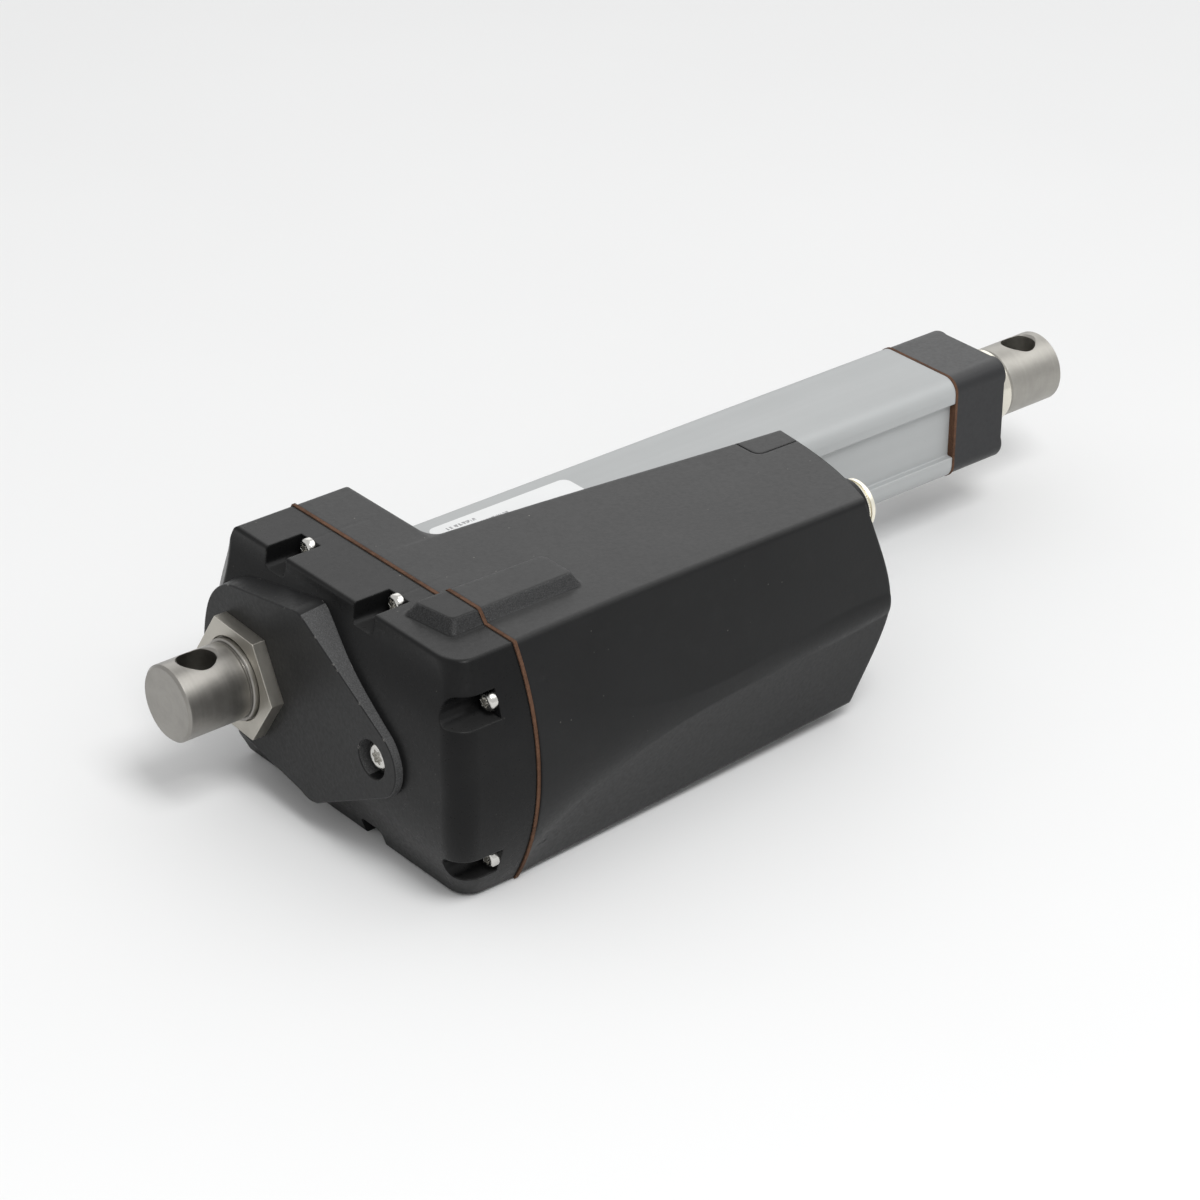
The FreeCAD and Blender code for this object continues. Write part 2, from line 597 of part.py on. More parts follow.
def plate_wire(x, grow):
    """Plate outline; the right end is an arc about the plate screw."""
    cy = HY
    r = ER + grow
    # tangent points of the sloped sides on the end arc
    tu = math.radians(122.0)
    tl = math.radians(-116.0)
    pu = (cy + r * math.cos(tu), r * math.sin(tu))
    pl = (cy + r * math.cos(tl), r * math.sin(tl))
    g = grow
    upper = [(-33.6 - 0.3 * g, 32.4 + 0.9 * g), (-29.6, 34.1 + g), (-25.4, 33.8 + g)]
    up_line = (4.6, 28.9 + g)
    left = [(11.0 + 0.5 * g, 26.2 + 0.8 * g), (16.8 + 0.8 * g, 20.6 + 0.6 * g), (20.6 + g, 11.5 + 0.3 * g), (22.0 + g, 1.0), (20.4 + g, -9.0), (15.6 + 0.8 * g, -17.2 - 0.6 * g)]
    lo_line = (8.2, -22.0 - g)
    lower = [(-27.6, -28.9 - g), (-31.6, -30.0 - g), (-35.6, -29.4 - 0.9 * g)]
    V = lambda p: Vector(x, p[0] + 0.4, p[1] - 0.25)
    edges = []
    edges.append(Part.makeLine(V(pu), V(upper[0])))
    b = Part.BSplineCurve()
    b.interpolate([V(p) for p in upper])
    edges.append(b.toShape())
    edges.append(Part.makeLine(V(upper[-1]), V(up_line)))
    b = Part.BSplineCurve()
    b.interpolate([V(up_line)] + [V(p) for p in left] + [V(lo_line)])
    edges.append(b.toShape())
    edges.append(Part.makeLine(V(lo_line), V(lower[0])))
    b = Part.BSplineCurve()
    b.interpolate([V(p) for p in lower])
    edges.append(b.toShape())
    edges.append(Part.makeLine(V(lower[-1]), V(pl)))
    edges.append(Part.Arc(V(pl), V((cy - r, 0.0)), V(pu)).toShape())
    return Part.Wire(edges)


# rim broken in three narrow steps, then the draft of the side wall
plate = Part.makeLoft([plate_wire(PX, -0.5), plate_wire(PX + 0.08, -0.26), plate_wire(PX + 0.24, -0.09), plate_wire(PX + 0.5, 0.0), plate_wire(PX + 11.0, 1.2)], True, True)
plate = plate.cut(COVER_OUT)
plate = sorted(plate.Solids, key=lambda s: bb(s).XMin)[0]
plate = plate.cut(cyl(0, 40, v("shank_dia") / 2))
# boss that lets the screw head sink below the face; it stands in a pocket of the cover
SEAT = PX + v("cbore_depth")
plate = plate.fuse(cyl(PX + 1.0, 24.0, 8.6, HY, 0)).removeSplitter()
plate = plate.cut(cyl(0, 40, 2.7, HY, 0)).cut(cyl(0, SEAT, v("cbore_dia") / 2, HY, 0))
plate = plate.cut(cone(PX - 0.01, PX + 0.3, v("cbore_dia") / 2 + 0.3, v("cbore_dia") / 2, HY, 0))
shape_part("rear_plate", plate.Solids[0])

# ---------------------------------------------------------------- screws


def star_recess(x, r, depth, y, z, phase=0.0):
    """Six-lobe driver recess opening towards -X."""
    pts = []
    n = 48
    for i in range(n):
        a = 2 * math.pi * i / n
        rr = r * (0.86 + 0.14 * math.cos(6 * a))
        pts.append(Vector(x, y + rr * math.cos(a + phase), z + rr * math.sin(a + phase)))
    bs = Part.BSplineCurve()
    bs.interpolate(pts, True)
    return Part.Face(Part.Wire([bs.toShape()])).extrude(Vector(depth, 0, 0))


def pan_screw(x_seat, length, head_r, head_h, shank_r, y, z, towards=1, recess=0.62):
    """Pan-head screw; the head stands on x_seat and the shank runs along +X (towards=1) or -X."""
    # profile in the local frame: head from -head_h to 0, shank from 0 to length
    hr, hh, sr, ln = head_r, head_h, shank_r, length
    V = lambda a, b: Vector(a, b, 0)
    e = [Part.makeLine(V(-hh, 0), V(-hh, hr * 0.55)),
         Part.Arc(V(-hh, hr * 0.55), V(-hh * 0.86, hr * 0.86), V(-hh * 0.45, hr)).toShape(),
         Part.makeLine(V(-hh * 0.45, hr), V(0, hr)),
         Part.makeLine(V(0, hr), V(0, sr)),
         Part.makeLine(V(0, sr), V(ln - 0.5, sr)),
         Part.makeLine(V(ln - 0.5, sr), V(ln, sr - 0.5)),
         Part.makeLine(V(ln, sr - 0.5), V(ln, 0)),
         Part.makeLine(V(ln, 0), V(-hh, 0))]
    s = Part.Face(Part.Wire(e)).revolve(Vector(0, 0, 0), Vector(1, 0, 0), 360)
    s = s.cut(star_recess(-hh - 0.01, hr * recess, hh * 0.62, 0, 0))
    if towards < 0:
        s.rotate(Vector(0, 0, 0), Vector(0, 0, 1), 180)
    s.translate(Vector(x_seat, y, z))
    return s.Solids[0] if s.Solids else s


# top and bottom slots end at 40.4, side slots at 38.6; each screw runs on through the gasket
shape_part("cover_screws", Part.makeCompound(
    [pan_screw(40.4, 18.0, 3.2, 2.6, 1.85, y, z) for (y, z) in screw_axes[:4]]
    + [pan_screw(38.6, 16.0, 3.2, 2.6, 1.85, y, z) for (y, z) in screw_axes[4:]]))
shape_part("rear_plate_screw", pan_screw(SEAT, 8.6, 4.7, 2.1, 2.48, HY, 0.0, recess=0.52))

# ---------------------------------------------------------------- rear eye and nut
eye_pts = [("-rear_eye_end", 0.0), ("-rear_eye_end", "eye_dia/2-eye_chamfer"), ("-rear_eye_end+eye_chamfer", "eye_dia/2"),
           ("-rear_eye_end+rear_eye_len", "eye_dia/2"), ("-rear_eye_end+rear_eye_len+0.4", "eye_dia/2-0.4"), ("nut_near-1.6", "eye_dia/2-0.4"),
           ("nut_near-1.6", "collar_dia/2-0.4"), ("nut_near-1.2", "collar_dia/2"), ("nut_near+0.9", "collar_dia/2"), ("nut_near+0.9", "shank_dia/2"), ("shank_end-1", "shank_dia/2"), ("shank_end", "shank_dia/2-1"), ("shank_end", 0.0)]
rear_eye = turned("rear_eye", eye_pts)
doc.recompute()
cross_hole(rear_eye, "rear_eye", 0.0, "pin_dia/2")


def countersunk_eye(body, label, x_expr):
    """The bar with both mouths of its pin hole countersunk."""
    xc = value(x_expr)
    r = v("pin_dia") / 2
    top = v("eye_dia") / 2 - 0.8
    s = body.Shape
    for sgn in (1, -1):
        s = s.cut(Part.makeCone(r, r + 1.6, 1.6, Vector(xc, 0, top * sgn), Vector(0, 0, sgn)))
    PARTS.remove(body)
    body.Label = label + "_blank"
    return shape_part(label, s.Solids[0])


countersunk_eye(rear_eye, "rear_eye", 0.0)

nut_body = doc.addObject("PartDesign::Body", "rear_eye_nut_body")
sk = nut_body.newObject("Sketcher::SketchObject", "nut_hex")
sk.AttachmentSupport = (plane(nut_body, "YZ_Plane"), [""])
sk.MapMode = "FlatFace"
sk.AttachmentOffset = Placement(Vector(0, 0, v("nut_near")), Rotation())
sk.setExpression("AttachmentOffset.Base.z", "Sizes.nut_near")
RC = v("nut_flats") / math.sqrt(3.0)
hexp = [Vector(RC * math.cos(math.radians(60 * k)), RC * math.sin(math.radians(60 * k)), 0) for k in range(6)]
for k in range(6):
    sk.addGeometry(Part.LineSegment(hexp[k], hexp[(k + 1) % 6]), False)
for k in range(6):
    sk.addConstraint(Sketcher.Constraint("Coincident", k, 2, (k + 1) % 6, 1))
g0 = sk.addGeometry(Part.Circle(Vector(0, 0, 0), Vector(0, 0, 1), RC), True)
for k in range(6):
    sk.addConstraint(Sketcher.Constraint("PointOnObject", k, 1, g0))
for k in range(5):
    sk.addConstraint(Sketcher.Constraint("Equal", k, k + 1))
sk.addConstraint(Sketcher.Constraint("Coincident", g0, 3, -1, 1))
sk.addConstraint(Sketcher.Constraint("PointOnObject", 0, 1, -1))
c = sk.addConstraint(Sketcher.Constraint("Radius", g0, RC))
sk.setExpression("Constraints[%d]" % c, "Sizes.nut_flats/sqrt(3)")
pad = nut_body.newObject("PartDesign::Pad", "nut_pad")
pad.Profile = sk
pad.Length = v("nut_far") - v("nut_near")
pad.setExpression("Length", "Sizes.nut_far-Sizes.nut_near")
nut_body.Tip = pad
# bore with a shallow recess for the collar, and the lightly broken corners of the hexagon, turned off in two grooves
skb = polygon_sketch(nut_body, "nut_bore", "XY_Plane", [("nut_near-1", 0.0), ("nut_near-1", "nut_sink_dia/2+1.3"), ("nut_near+0.3", "nut_sink_dia/2"), ("nut_near+1", "nut_sink_dia/2"), ("nut_near+1", "shank_dia/2"), ("nut_far+1", "shank_dia/2"), ("nut_far+1", 0.0)])
gr = nut_body.newObject("PartDesign::Groove", "nut_bore_turn")
gr.Profile = skb
gr.ReferenceAxis = (axis_feature(nut_body, "X_Axis"), [""])
gr.Angle = 360.0
nut_body.Tip = gr
skc = polygon_sketch(nut_body, "nut_corner", "XY_Plane", [("nut_near-0.6", "nut_flats/2+1.6"), ("nut_near+0.8", "nut_flats/2+3.6"), ("nut_near-0.6", "nut_flats/2+6")])
gr2 = nut_body.newObject("PartDesign::Groove", "nut_corner_turn")
gr2.Profile = skc
gr2.ReferenceAxis = (axis_feature(nut_body, "X_Axis"), [""])
gr2.Angle = 360.0
nut_body.Tip = gr2
nut_body.Placement = Placement(Vector(0, 0, 0), Rotation(Vector(1, 0, 0), v("nut_turn")))
nut_body.setExpression("Placement.Rotation.Angle", "Sizes.nut_turn")
register(nut_body, "rear_eye_nut")

# ---------------------------------------------------------------- outer tube
tb = doc.addObject("PartDesign::Body", "outer_tube_body")
H = v("tube_size") / 2
prof = [("tube_size/2", "tube_size/2"), ("-tube_size/2", "tube_size/2"),
        ("-tube_size/2", "slot_half"), ("-tube_size/2+slot_depth", "slot_half"), ("-tube_size/2+slot_depth", "-slot_half"), ("-tube_size/2", "-slot_half"),
        ("-tube_size/2", "-tube_size/2"), ("tube_size/2", "-tube_size/2"),
        ("tube_size/2", "-slot_half"), ("tube_size/2-slot_depth", "-slot_half"), ("tube_size/2-slot_depth", "slot_half"), ("tube_size/2", "slot_half")]
skt = polygon_sketch(tb, "tube_outline", "YZ_Plane", prof)
skt.AttachmentOffset = Placement(Vector(0, 0, v("tube_rear")), Rotation())
skt.setExpression("AttachmentOffset.Base.z", "Sizes.tube_rear")
pad = tb.newObject("PartDesign::Pad", "tube_pad")
pad.Profile = skt
pad.Length = v("tube_front") - v("tube_rear")
pad.setExpression("Length", "Sizes.tube_front-Sizes.tube_rear")
tb.Tip = pad
doc.recompute()


def long_edge_names(tip, test):
    out = []
    for i, e in enumerate(tip.Shape.Edges):
        b = e.BoundBox
        if b.XLength > 200 and test(b):
            out.append("Edge%d" % (i + 1))
    return out


fl = tb.newObject("PartDesign::Fillet", "tube_corners")
fl.Base = (pad, long_edge_names(pad, lambda b: abs(abs(b.YMin) - H) < 0.01 and abs(abs(b.ZMin) - H) < 0.01))
fl.Radius = v("tube_corner")
fl.setExpression("Radius", "Sizes.tube_corner")
tb.Tip = fl
doc.recompute()
fl2 = tb.newObject("PartDesign::Fillet", "tube_slot_edges")
sh = v("slot_half")
fl2.Base = (fl, long_edge_names(fl, lambda b: abs(abs(b.ZMin) - sh) < 0.01))
fl2.Radius = 0.5
tb.Tip = fl2
doc.recompute()
skbore = circle_sketch(tb, "tube_bore_sketch", "YZ_Plane", 0.0, 0.0, "tube_bore/2")
for (py, pz) in ((13.4, 13.4), (-13.4, 13.4), (13.4, -13.4), (-13.4, -13.4)):
    gi = skbore.addGeometry(Part.Circle(Vector(py, pz, 0), Vector(0, 0, 1), 2.0), False)
    skbore.addConstraint(Sketcher.Constraint("DistanceX", -1, 1, gi, 3, py))
    skbore.addConstraint(Sketcher.Constraint("DistanceY", -1, 1, gi, 3, pz))
    skbore.addConstraint(Sketcher.Constraint("Radius", gi, 2.0))
poc = tb.newObject("PartDesign::Pocket", "tube_bores")
poc.Profile = skbore
poc.Type = 0
poc.Length = 400.0
poc.Reversed = True
tb.Tip = poc
doc.recompute()
if abs(poc.Shape.Volume - fl2.Shape.Volume) < 1000:
    poc.Reversed = False
    doc.recompute()
register(tb, "outer_tube")

# ---------------------------------------------------------------- front cap, its gasket and screws
CR, CF, CP = v("cap_rear"), v("cap_front"), v("cap_pad")
ch = v("cap_size") / 2
cap = rounded_rect_prism(CR, CF, -ch, ch, -ch, ch, v("tube_corner") - 0.2)
pads = None
for (py, pz) in ((13.0, 13.0), (-13.0, 13.0), (13.0, -13.0), (-13.0, -13.0)):
    p = cyl(CF - 1, CF + CP, 5.8, py, pz)
    pads = p if pads is None else pads.fuse(p)
full = rounded_rect_prism(CR, CF + CP + 5, -ch, ch, -ch, ch, v("tube_corner") - 0.2)
cap = cap.fuse(pads.common(full)).removeSplitter()
rim = pick(cap, lambda e: bb(e).XLength < 1e-6 and bb(e).XMin > CF - 1e-6 and e.Length > 2)
cap = soft_fillet(cap, rim, [0.5, 0.3], "cap rim")
cap = cap.cut(cyl(0, 400, v("rod_dia") / 2 + 0.6))
cap = cap.cut(cyl(CR - 1, CF - 5.2, 15.6)).cut(cyl(CF - 4.6, CF + 9, 16.4))
for (py, pz) in ((13.4, 13.4), (-13.4, 13.4), (13.4, -13.4), (-13.4, -13.4)):
    cap = cap.cut(cyl(0, 400, 1.95, py, pz))
shape_part("front_cap", cap.Solids[0])

fg = rounded_rect_prism(v("tube_front"), CR, -H - 0.15, H + 0.15, -H - 0.15, H + 0.15, v("tube_corner"))
fg = fg.cut(cyl(0, 400, 14.6))
for (py, pz) in ((13.4, 13.4), (-13.4, 13.4), (13.4, -13.4), (-13.4, -13.4)):
    fg = fg.cut(cyl(0, 400, 2.1, py, pz))
shape_part("front_gasket", fg.Solids[0])
shape_part("front_cap_screws", Part.makeCompound(
    [pan_screw(CF + CP, 36.0, 3.1, 2.3, 1.9, py, pz, towards=-1) for (py, pz) in ((13.4, 13.4), (-13.4, 13.4), (13.4, -13.4), (-13.4, -13.4))]))

turned("rod_guide_bush", [("cap_rear+0.2", "rod_dia/2+fit_gap"), ("cap_rear+0.2", 15.58), ("cap_front-5.4", 15.58), ("cap_front-5.4", "rod_dia/2+fit_gap")])
turned("rod_wiper", [("cap_front-4.4", "rod_dia/2+0.35"), ("cap_front-4.4", 16.36), ("cap_front+0.2", 16.36), ("cap_front+0.2", 15.6), ("cap_front+2.2", 15.0), ("cap_front+3.4", 13.9), ("cap_front+3.5", "rod_dia/2+fit_gap"), ("cap_front+2.6", "rod_dia/2+fit_gap"), ("cap_front+1.6", "rod_dia/2+0.35")])

# ---------------------------------------------------------------- rod, front eye, drive nut and its guide
turned("piston_rod", [("rod_rear", "rod_bore/2"), ("rod_rear", "rod_dia/2"), ("rod_front-0.5", "rod_dia/2"), ("rod_front", "rod_dia/2-0.5"), ("rod_front", "rod_bore/2")])
front_pts = [("rod_front-20", 0.0), ("rod_front-20", "rod_bore/2-0.02"), ("rod_front+0.1", "rod_bore/2-0.02"), ("rod_front+0.1", "eye_dia/2-0.9"), ("rod_front+1", "eye_dia/2"),
             ("pin_to_pin+front_eye_end-eye_chamfer", "eye_dia/2"), ("pin_to_pin+front_eye_end", "eye_dia/2-eye_chamfer"), ("pin_to_pin+front_eye_end", 0.0)]
front_eye = turned("front_eye", front_pts)
doc.recompute()
cross_hole(front_eye, "front_eye", "pin_to_pin", "pin_dia/2")
countersunk_eye(front_eye, "front_eye", "pin_to_pin")
turned("drive_nut", [(75.0, "thread_pitch_dia/2+fit_gap"), (75.0, 12.6), ("rod_rear-0.1", 12.6), ("rod_rear-0.1", "rod_bore/2-0.02"), ("rod_rear+16", "rod_bore/2-0.02"), ("rod_rear+16", "thread_pitch_dia/2+fit_gap")])
turned("nut_guide", [(76.0, 12.62), (76.0, "tube_bore/2-fit_gap"), (86.0, "tube_bore/2-fit_gap"), (86.0, 12.62)])

# ---------------------------------------------------------------- spindle
turned("spindle", [(27.6, 0.0), (27.6, "journal_dia/2"), (63.0, "journal_dia/2"), (63.0, 8.6), ("thread_rear", 8.6), ("thread_rear", "thread_pitch_dia/2"),
                   ("thread_front-7", "thread_pitch_dia/2"), ("thread_front-7", 4.0), ("thread_front", 4.0), ("thread_front", 0.0)])
turned("spindle_tip_ring", [("thread_front-6.5", 4.02), ("thread_front-6.5", "rod_bore/2-fit_gap*2"), ("thread_front-0.6", "rod_bore/2-fit_gap*2"), ("thread_front-0.6", 4.02)])
turned("spindle_bearing_inner", [(53.4, 6.02), (53.4, 8.8), (62.8, 8.8), (62.8, 6.02)])
turned("spindle_bearing_outer", [(53.4, 13.2), (53.4, 15.96), (62.8, 15.96), (62.8, 13.2)])
balls = []
for k in range(9):
    a = 2 * math.pi * k / 9
    balls.append(Part.makeSphere(1.9, Vector(58.1, 11.0 * math.cos(a), 11.0 * math.sin(a))))
shape_part("spindle_bearing_balls", Part.makeCompound(balls))

# ---------------------------------------------------------------- spur gears
MOD = v("gear_mod")
PRESS = math.radians(25.0)


def inv(a):
    return math.tan(a) - a


def spur_gear(teeth, x0, x1, y, phase, bore_r, hub=None, web=None):
    """Involute spur gear about an axis along X; phase is the angle of one tooth's middle from +Y."""
    teeth = int(teeth)
    rp = MOD * teeth / 2.0
    rb = rp * math.cos(PRESS)
    ra = rp + 0.9 * MOD
    rf = rp - 1.3 * MOD
    half = (math.pi * MOD / 2.0 - 0.16) / (2.0 * rp)
    r_lo = max(rb, rf + 0.05)

    def pol(r, a):
        return Vector(x0, r * math.cos(a), r * math.sin(a))

    def flank(sign, mid):
        pts = []
        n = 7
        for i in range(n):
            r = r_lo + (ra - r_lo) * i / (n - 1)
            al = math.acos(min(1.0, rb / r))
            ang = half + inv(PRESS) - inv(al)
            pts.append(pol(r, mid + sign * ang))
        return pts
    edges = []
    for k in range(teeth):
        mid = phase + 2 * math.pi * k / teeth
        nxt = mid + 2 * math.pi / teeth
        lo = flank(-1, mid)
        hi = flank(1, mid)
        nlo = flank(-1, nxt)
        a_lo = half + inv(PRESS) - inv(math.acos(min(1.0, rb / r_lo)))
        root_a = pol(rf, mid - a_lo)
        root_b = pol(rf, mid + a_lo)
        root_c = pol(rf, nxt - a_lo)
        if (root_a - lo[0]).Length > 1e-4:
            edges.append(Part.makeLine(root_a, lo[0]))
        b = Part.BSplineCurve()
        b.interpolate(lo)
        edges.append(b.toShape())
        edges.append(Part.Arc(lo[-1], pol(ra, mid), hi[-1]).toShape())
        b = Part.BSplineCurve()
        b.interpolate(hi[::-1])
        edges.append(b.toShape())
        if (root_b - hi[0]).Length > 1e-4:
            edges.append(Part.makeLine(hi[0], root_b))
        edges.append(Part.Arc(root_b, pol(rf, (mid + nxt) / 2), root_c).toShape())
    s = Part.Face(Part.Wire(edges)).extrude(Vector(x1 - x0, 0, 0))
    s.translate(Vector(0, y, 0))
    if web:
        r_in, r_out, depth = web
        s = s.cut(cyl(x0 - 0.01, x0 + depth, r_out, y).cut(cyl(x0 - 1, x0 + depth + 1, r_in, y)))
        s = s.cut(cyl(x1 - depth, x1 + 0.01, r_out, y).cut(cyl(x1 - depth - 1, x1 + 1, r_in, y)))
    if hub:
        s = s.fuse(cyl(hub[0], hub[1], hub[2], y))
    s = s.cut(cyl(x0 - 30, x1 + 30, bore_r, y))
    return s.Solids[0]


CD = v("centre_dist")
Z1, Z2, Z3, Z4 = v("spindle_teeth"), v("idler_small"), v("idler_large"), v("motor_teeth")
shape_part("spindle_gear", spur_gear(Z1, 28.6, 37.6, 0.0, math.pi, 6.02, web=(10.0, 20.0, 2.6)))
shape_part("idler_pinion", spur_gear(Z2, 28.2, 39.3, -CD, math.pi / Z2, 4.02))
shape_part("idler_gear", spur_gear(Z3, 39.6, 47.6, -CD, math.pi, 4.02, web=(8.5, 18.5, 2.2)))
shape_part("motor_pinion", spur_gear(Z4, 39.2, 48.6, v("motor_y"), math.pi / Z4, v("motor_shaft_dia") / 2 + 0.02))
turned("idler_shaft", [(23.7, 0.0), (23.7, 3.98), (59.6, 3.98), (59.6, 0.0)], y="-centre_dist")
turned("idler_bushing", [(52.6, 4.05), (52.6, 6.6), (52.95, 6.6), (52.95, 4.98), (59.8, 4.98), (59.8, 4.05)], y="-centre_dist")

# ---------------------------------------------------------------- motor
turned("motor_shaft", [(38.6, 0.0), (38.6, "motor_shaft_dia/2"), (170.0, "motor_shaft_dia/2"), (170.0, 0.0)], y="motor_y")
turned("motor_can", [("motor_rear", "motor_dia/2-2.2"), ("motor_rear", "motor_dia/2"), ("motor_front-6", "motor_dia/2"), ("motor_front-6", "motor_dia/2-2.2")], y="motor_y")
turned("motor_front_plate", [("motor_rear", 7.0), ("motor_rear", "motor_dia/2-2.25"), ("motor_rear+4", "motor_dia/2-2.25"), ("motor_rear+4", 11.2), ("motor_rear+10", 11.2), ("motor_rear+10", 8.05), ("motor_rear+2", 8.05), ("motor_rear+2", 7.0)], y="motor_y")
turned("motor_bearings", [("motor_rear+2.4", 3.05), ("motor_rear+2.4", 8.0), ("motor_rear+8.4", 8.0), ("motor_rear+8.4", 3.05)], y="motor_y")
MF, MY, MR = v("motor_front"), v("motor_y"), v("motor_dia") / 2
bp = cyl(MF - 5.9, MF, MR - 0.4, MY)
es = pick(bp, lambda e: abs(bb(e).XMin - MF) < 1e-6 and abs(bb(e).XMax - MF) < 1e-6)
bp = soft_fillet(bp, es, [1.6, 1.0], "brush plate rim")
bp = bp.cut(cyl(MF - 2, MF + 1, 7.0, MY)).cut(cyl(MF - 10, MF + 1, 3.1, MY))
for sgn in (1, -1):
    z0, z1 = (10.5, 22.0) if sgn > 0 else (-22.0, -10.5)
    hold = block(152.5, MF - 5.8, MY - 4.4, MY + 4.4, z0, z1)
    z0, z1 = (5.0, 19.6) if sgn > 0 else (-19.6, -5.0)
    bp = bp.fuse(hold).cut(block(150.0, 162.6, MY - 3.1, MY + 3.1, z0, z1))
shape_part("motor_brush_plate", bp.removeSplitter().Solids[0])
mags = []
for k in range(2):
    ring = cyl(84, 148, v("motor_dia") / 2 - 2.25, v("motor_y")).cut(cyl(80, 160, 20.6, v("motor_y")))
    if k == 0:
        ring = ring.cut(block(0, 300, -120, 0, -60, 5.0))
    else:
        ring = ring.cut(block(0, 300, -120, 0, -5.0, 60))
    mags.append(ring.Solids[0])
shape_part("motor_magnets", Part.makeCompound(mags))
arm = cyl(88, 144, 19.8, v("motor_y"))
for k in range(12):
    a = 2 * math.pi * k / 12
    arm = arm.cut(cyl(80, 160, 1.6, v("motor_y") + 17.3 * math.cos(a), 17.3 * math.sin(a)))
arm = arm.cut(cyl(60, 180, 3.02, v("motor_y")))
shape_part("motor_armature", arm.Solids[0])
wind = []
for (xa, xb) in ((80.0, 87.9), (149.6, 144.1)):
    lo, hi = min(xa, xb), max(xa, xb)
    w = cyl(lo, hi, 16.4, v("motor_y")).cut(cyl(lo - 1, hi + 1, 5.0, v("motor_y")))
    es = pick(w, lambda e: abs(bb(e).XMin - xa) < 1e-6 and abs(bb(e).XMax - xa) < 1e-6 and bb(e).YLength > 20)
    wind.append(soft_fillet(w, es, [2.4, 1.5], "winding"))
shape_part("armature_windings", Part.makeCompound(wind))
turned("commutator", [(150.0, 3.02), (150.0, 9.0), (166.0, 9.0), (166.0, 3.02)], y="motor_y")
br = []
for sgn in (1, -1):
    if sgn > 0:
        br.append(block(154, 161, v("motor_y") - 3, v("motor_y") + 3, 9.3, 19.5))
    else:
        br.append(block(154, 161, v("motor_y") - 3, v("motor_y") + 3, -19.5, -9.3))
shape_part("motor_brushes", Part.makeCompound(br))

# ---------------------------------------------------------------- circuit board and cable socket
pcb = rounded_rect_prism(181.0, 182.6, -83.0, -48.0, -25.0, 17.0, 2.0)
pcb = pcb.fuse(block(182.6, 190.5, -80.0, -62.0, -20.0, -2.0)).fuse(block(182.6, 187.0, -58.0, -53.0, -20.0, 8.0)).fuse(block(179.0, 181.0, -76.0, -60.0, -12.0, 4.0))
shape_part("circuit_board", pcb.Solids[0])
SY, SZ = v("socket_y"), v("socket_z")
SE = v("socket_end")
SR = v("socket_dia") / 2
# ring with a knurled-looking flange: shoulder, groove and chamfered end
pts = [(190.0, 5.6), (190.0, 6.95), (202.4, 6.95), (202.4, SR), (203.9, SR), (203.9, SR - 0.7), (204.5, SR - 0.7), (204.5, SR), (SE - 0.7, SR), (SE, SR - 0.7), (SE, 6.6), (SE - 2.6, 6.2), (200.0, 6.2), (200.0, 5.6)]
turned("cable_socket", pts, y="socket_y", z="socket_z")
core_in = cyl(190.2, 203.6, 5.55, SY, SZ)
for k in range(4):
    a = math.pi / 4 + k * math.pi / 2
    core_in = core_in.fuse(cyl(203.6, 205.8, 0.55, SY + 2.6 * math.cos(a), SZ + 2.6 * math.sin(a)))
shape_part("cable_socket_insert", core_in.Solids[0])

# ---------------------------------------------------------------- label on the tube
lab = block(v("label_rear"), v("label_front"), -v("label_half"), v("label_half"), H + 0.0, H + 0.12)
es = pick(lab, lambda e: bb(e).ZLength > 0.1)
lab = lab.makeFillet(3.0, es)
shape_part("tube_label", lab)

# ---------------------------------------------------------------- checks and export
doc.recompute()
bad = []
for o in doc.Objects:
    if "Invalid" in o.State or "Error" in o.State:
        bad.append((o.Name, o.State))
for o in PARTS:
    s = o.Shape
    if s.isNull() or not s.isValid():
        bad.append((o.Label, "shape"))
if bad:
    raise RuntimeError("broken objects: %r" % bad)
os.makedirs("parts", exist_ok=True)
for o in PARTS:
    s = o.Shape
    print("%-24s solids %d vol %9.1f box x %.1f..%.1f y %.1f..%.1f z %.1f..%.1f" % (o.Label, len(s.Solids), s.Volume, s.BoundBox.XMin, s.BoundBox.XMax, s.BoundBox.YMin, s.BoundBox.YMax, s.BoundBox.ZMin, s.BoundBox.ZMax))
    s.exportStep("parts/%s.step" % o.Label)
print("parts", len(PARTS))
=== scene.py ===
import json
import math
import bpy
import bmesh
from mathutils import Matrix, Vector


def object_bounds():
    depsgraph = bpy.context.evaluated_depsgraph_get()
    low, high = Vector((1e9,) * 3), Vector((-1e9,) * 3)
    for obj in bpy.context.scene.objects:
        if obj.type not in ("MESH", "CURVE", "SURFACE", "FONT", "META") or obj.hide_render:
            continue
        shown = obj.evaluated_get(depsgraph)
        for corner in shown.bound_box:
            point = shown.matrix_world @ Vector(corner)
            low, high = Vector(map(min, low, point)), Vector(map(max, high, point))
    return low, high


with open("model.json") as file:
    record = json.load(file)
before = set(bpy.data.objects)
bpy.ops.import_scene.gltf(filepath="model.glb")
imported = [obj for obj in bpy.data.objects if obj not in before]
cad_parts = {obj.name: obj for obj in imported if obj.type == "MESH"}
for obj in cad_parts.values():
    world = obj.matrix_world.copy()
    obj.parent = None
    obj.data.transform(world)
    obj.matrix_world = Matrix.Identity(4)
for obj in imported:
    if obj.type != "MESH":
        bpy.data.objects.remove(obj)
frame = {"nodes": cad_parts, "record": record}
cad_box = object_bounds()
nodes = frame["nodes"]
scene = bpy.context.scene


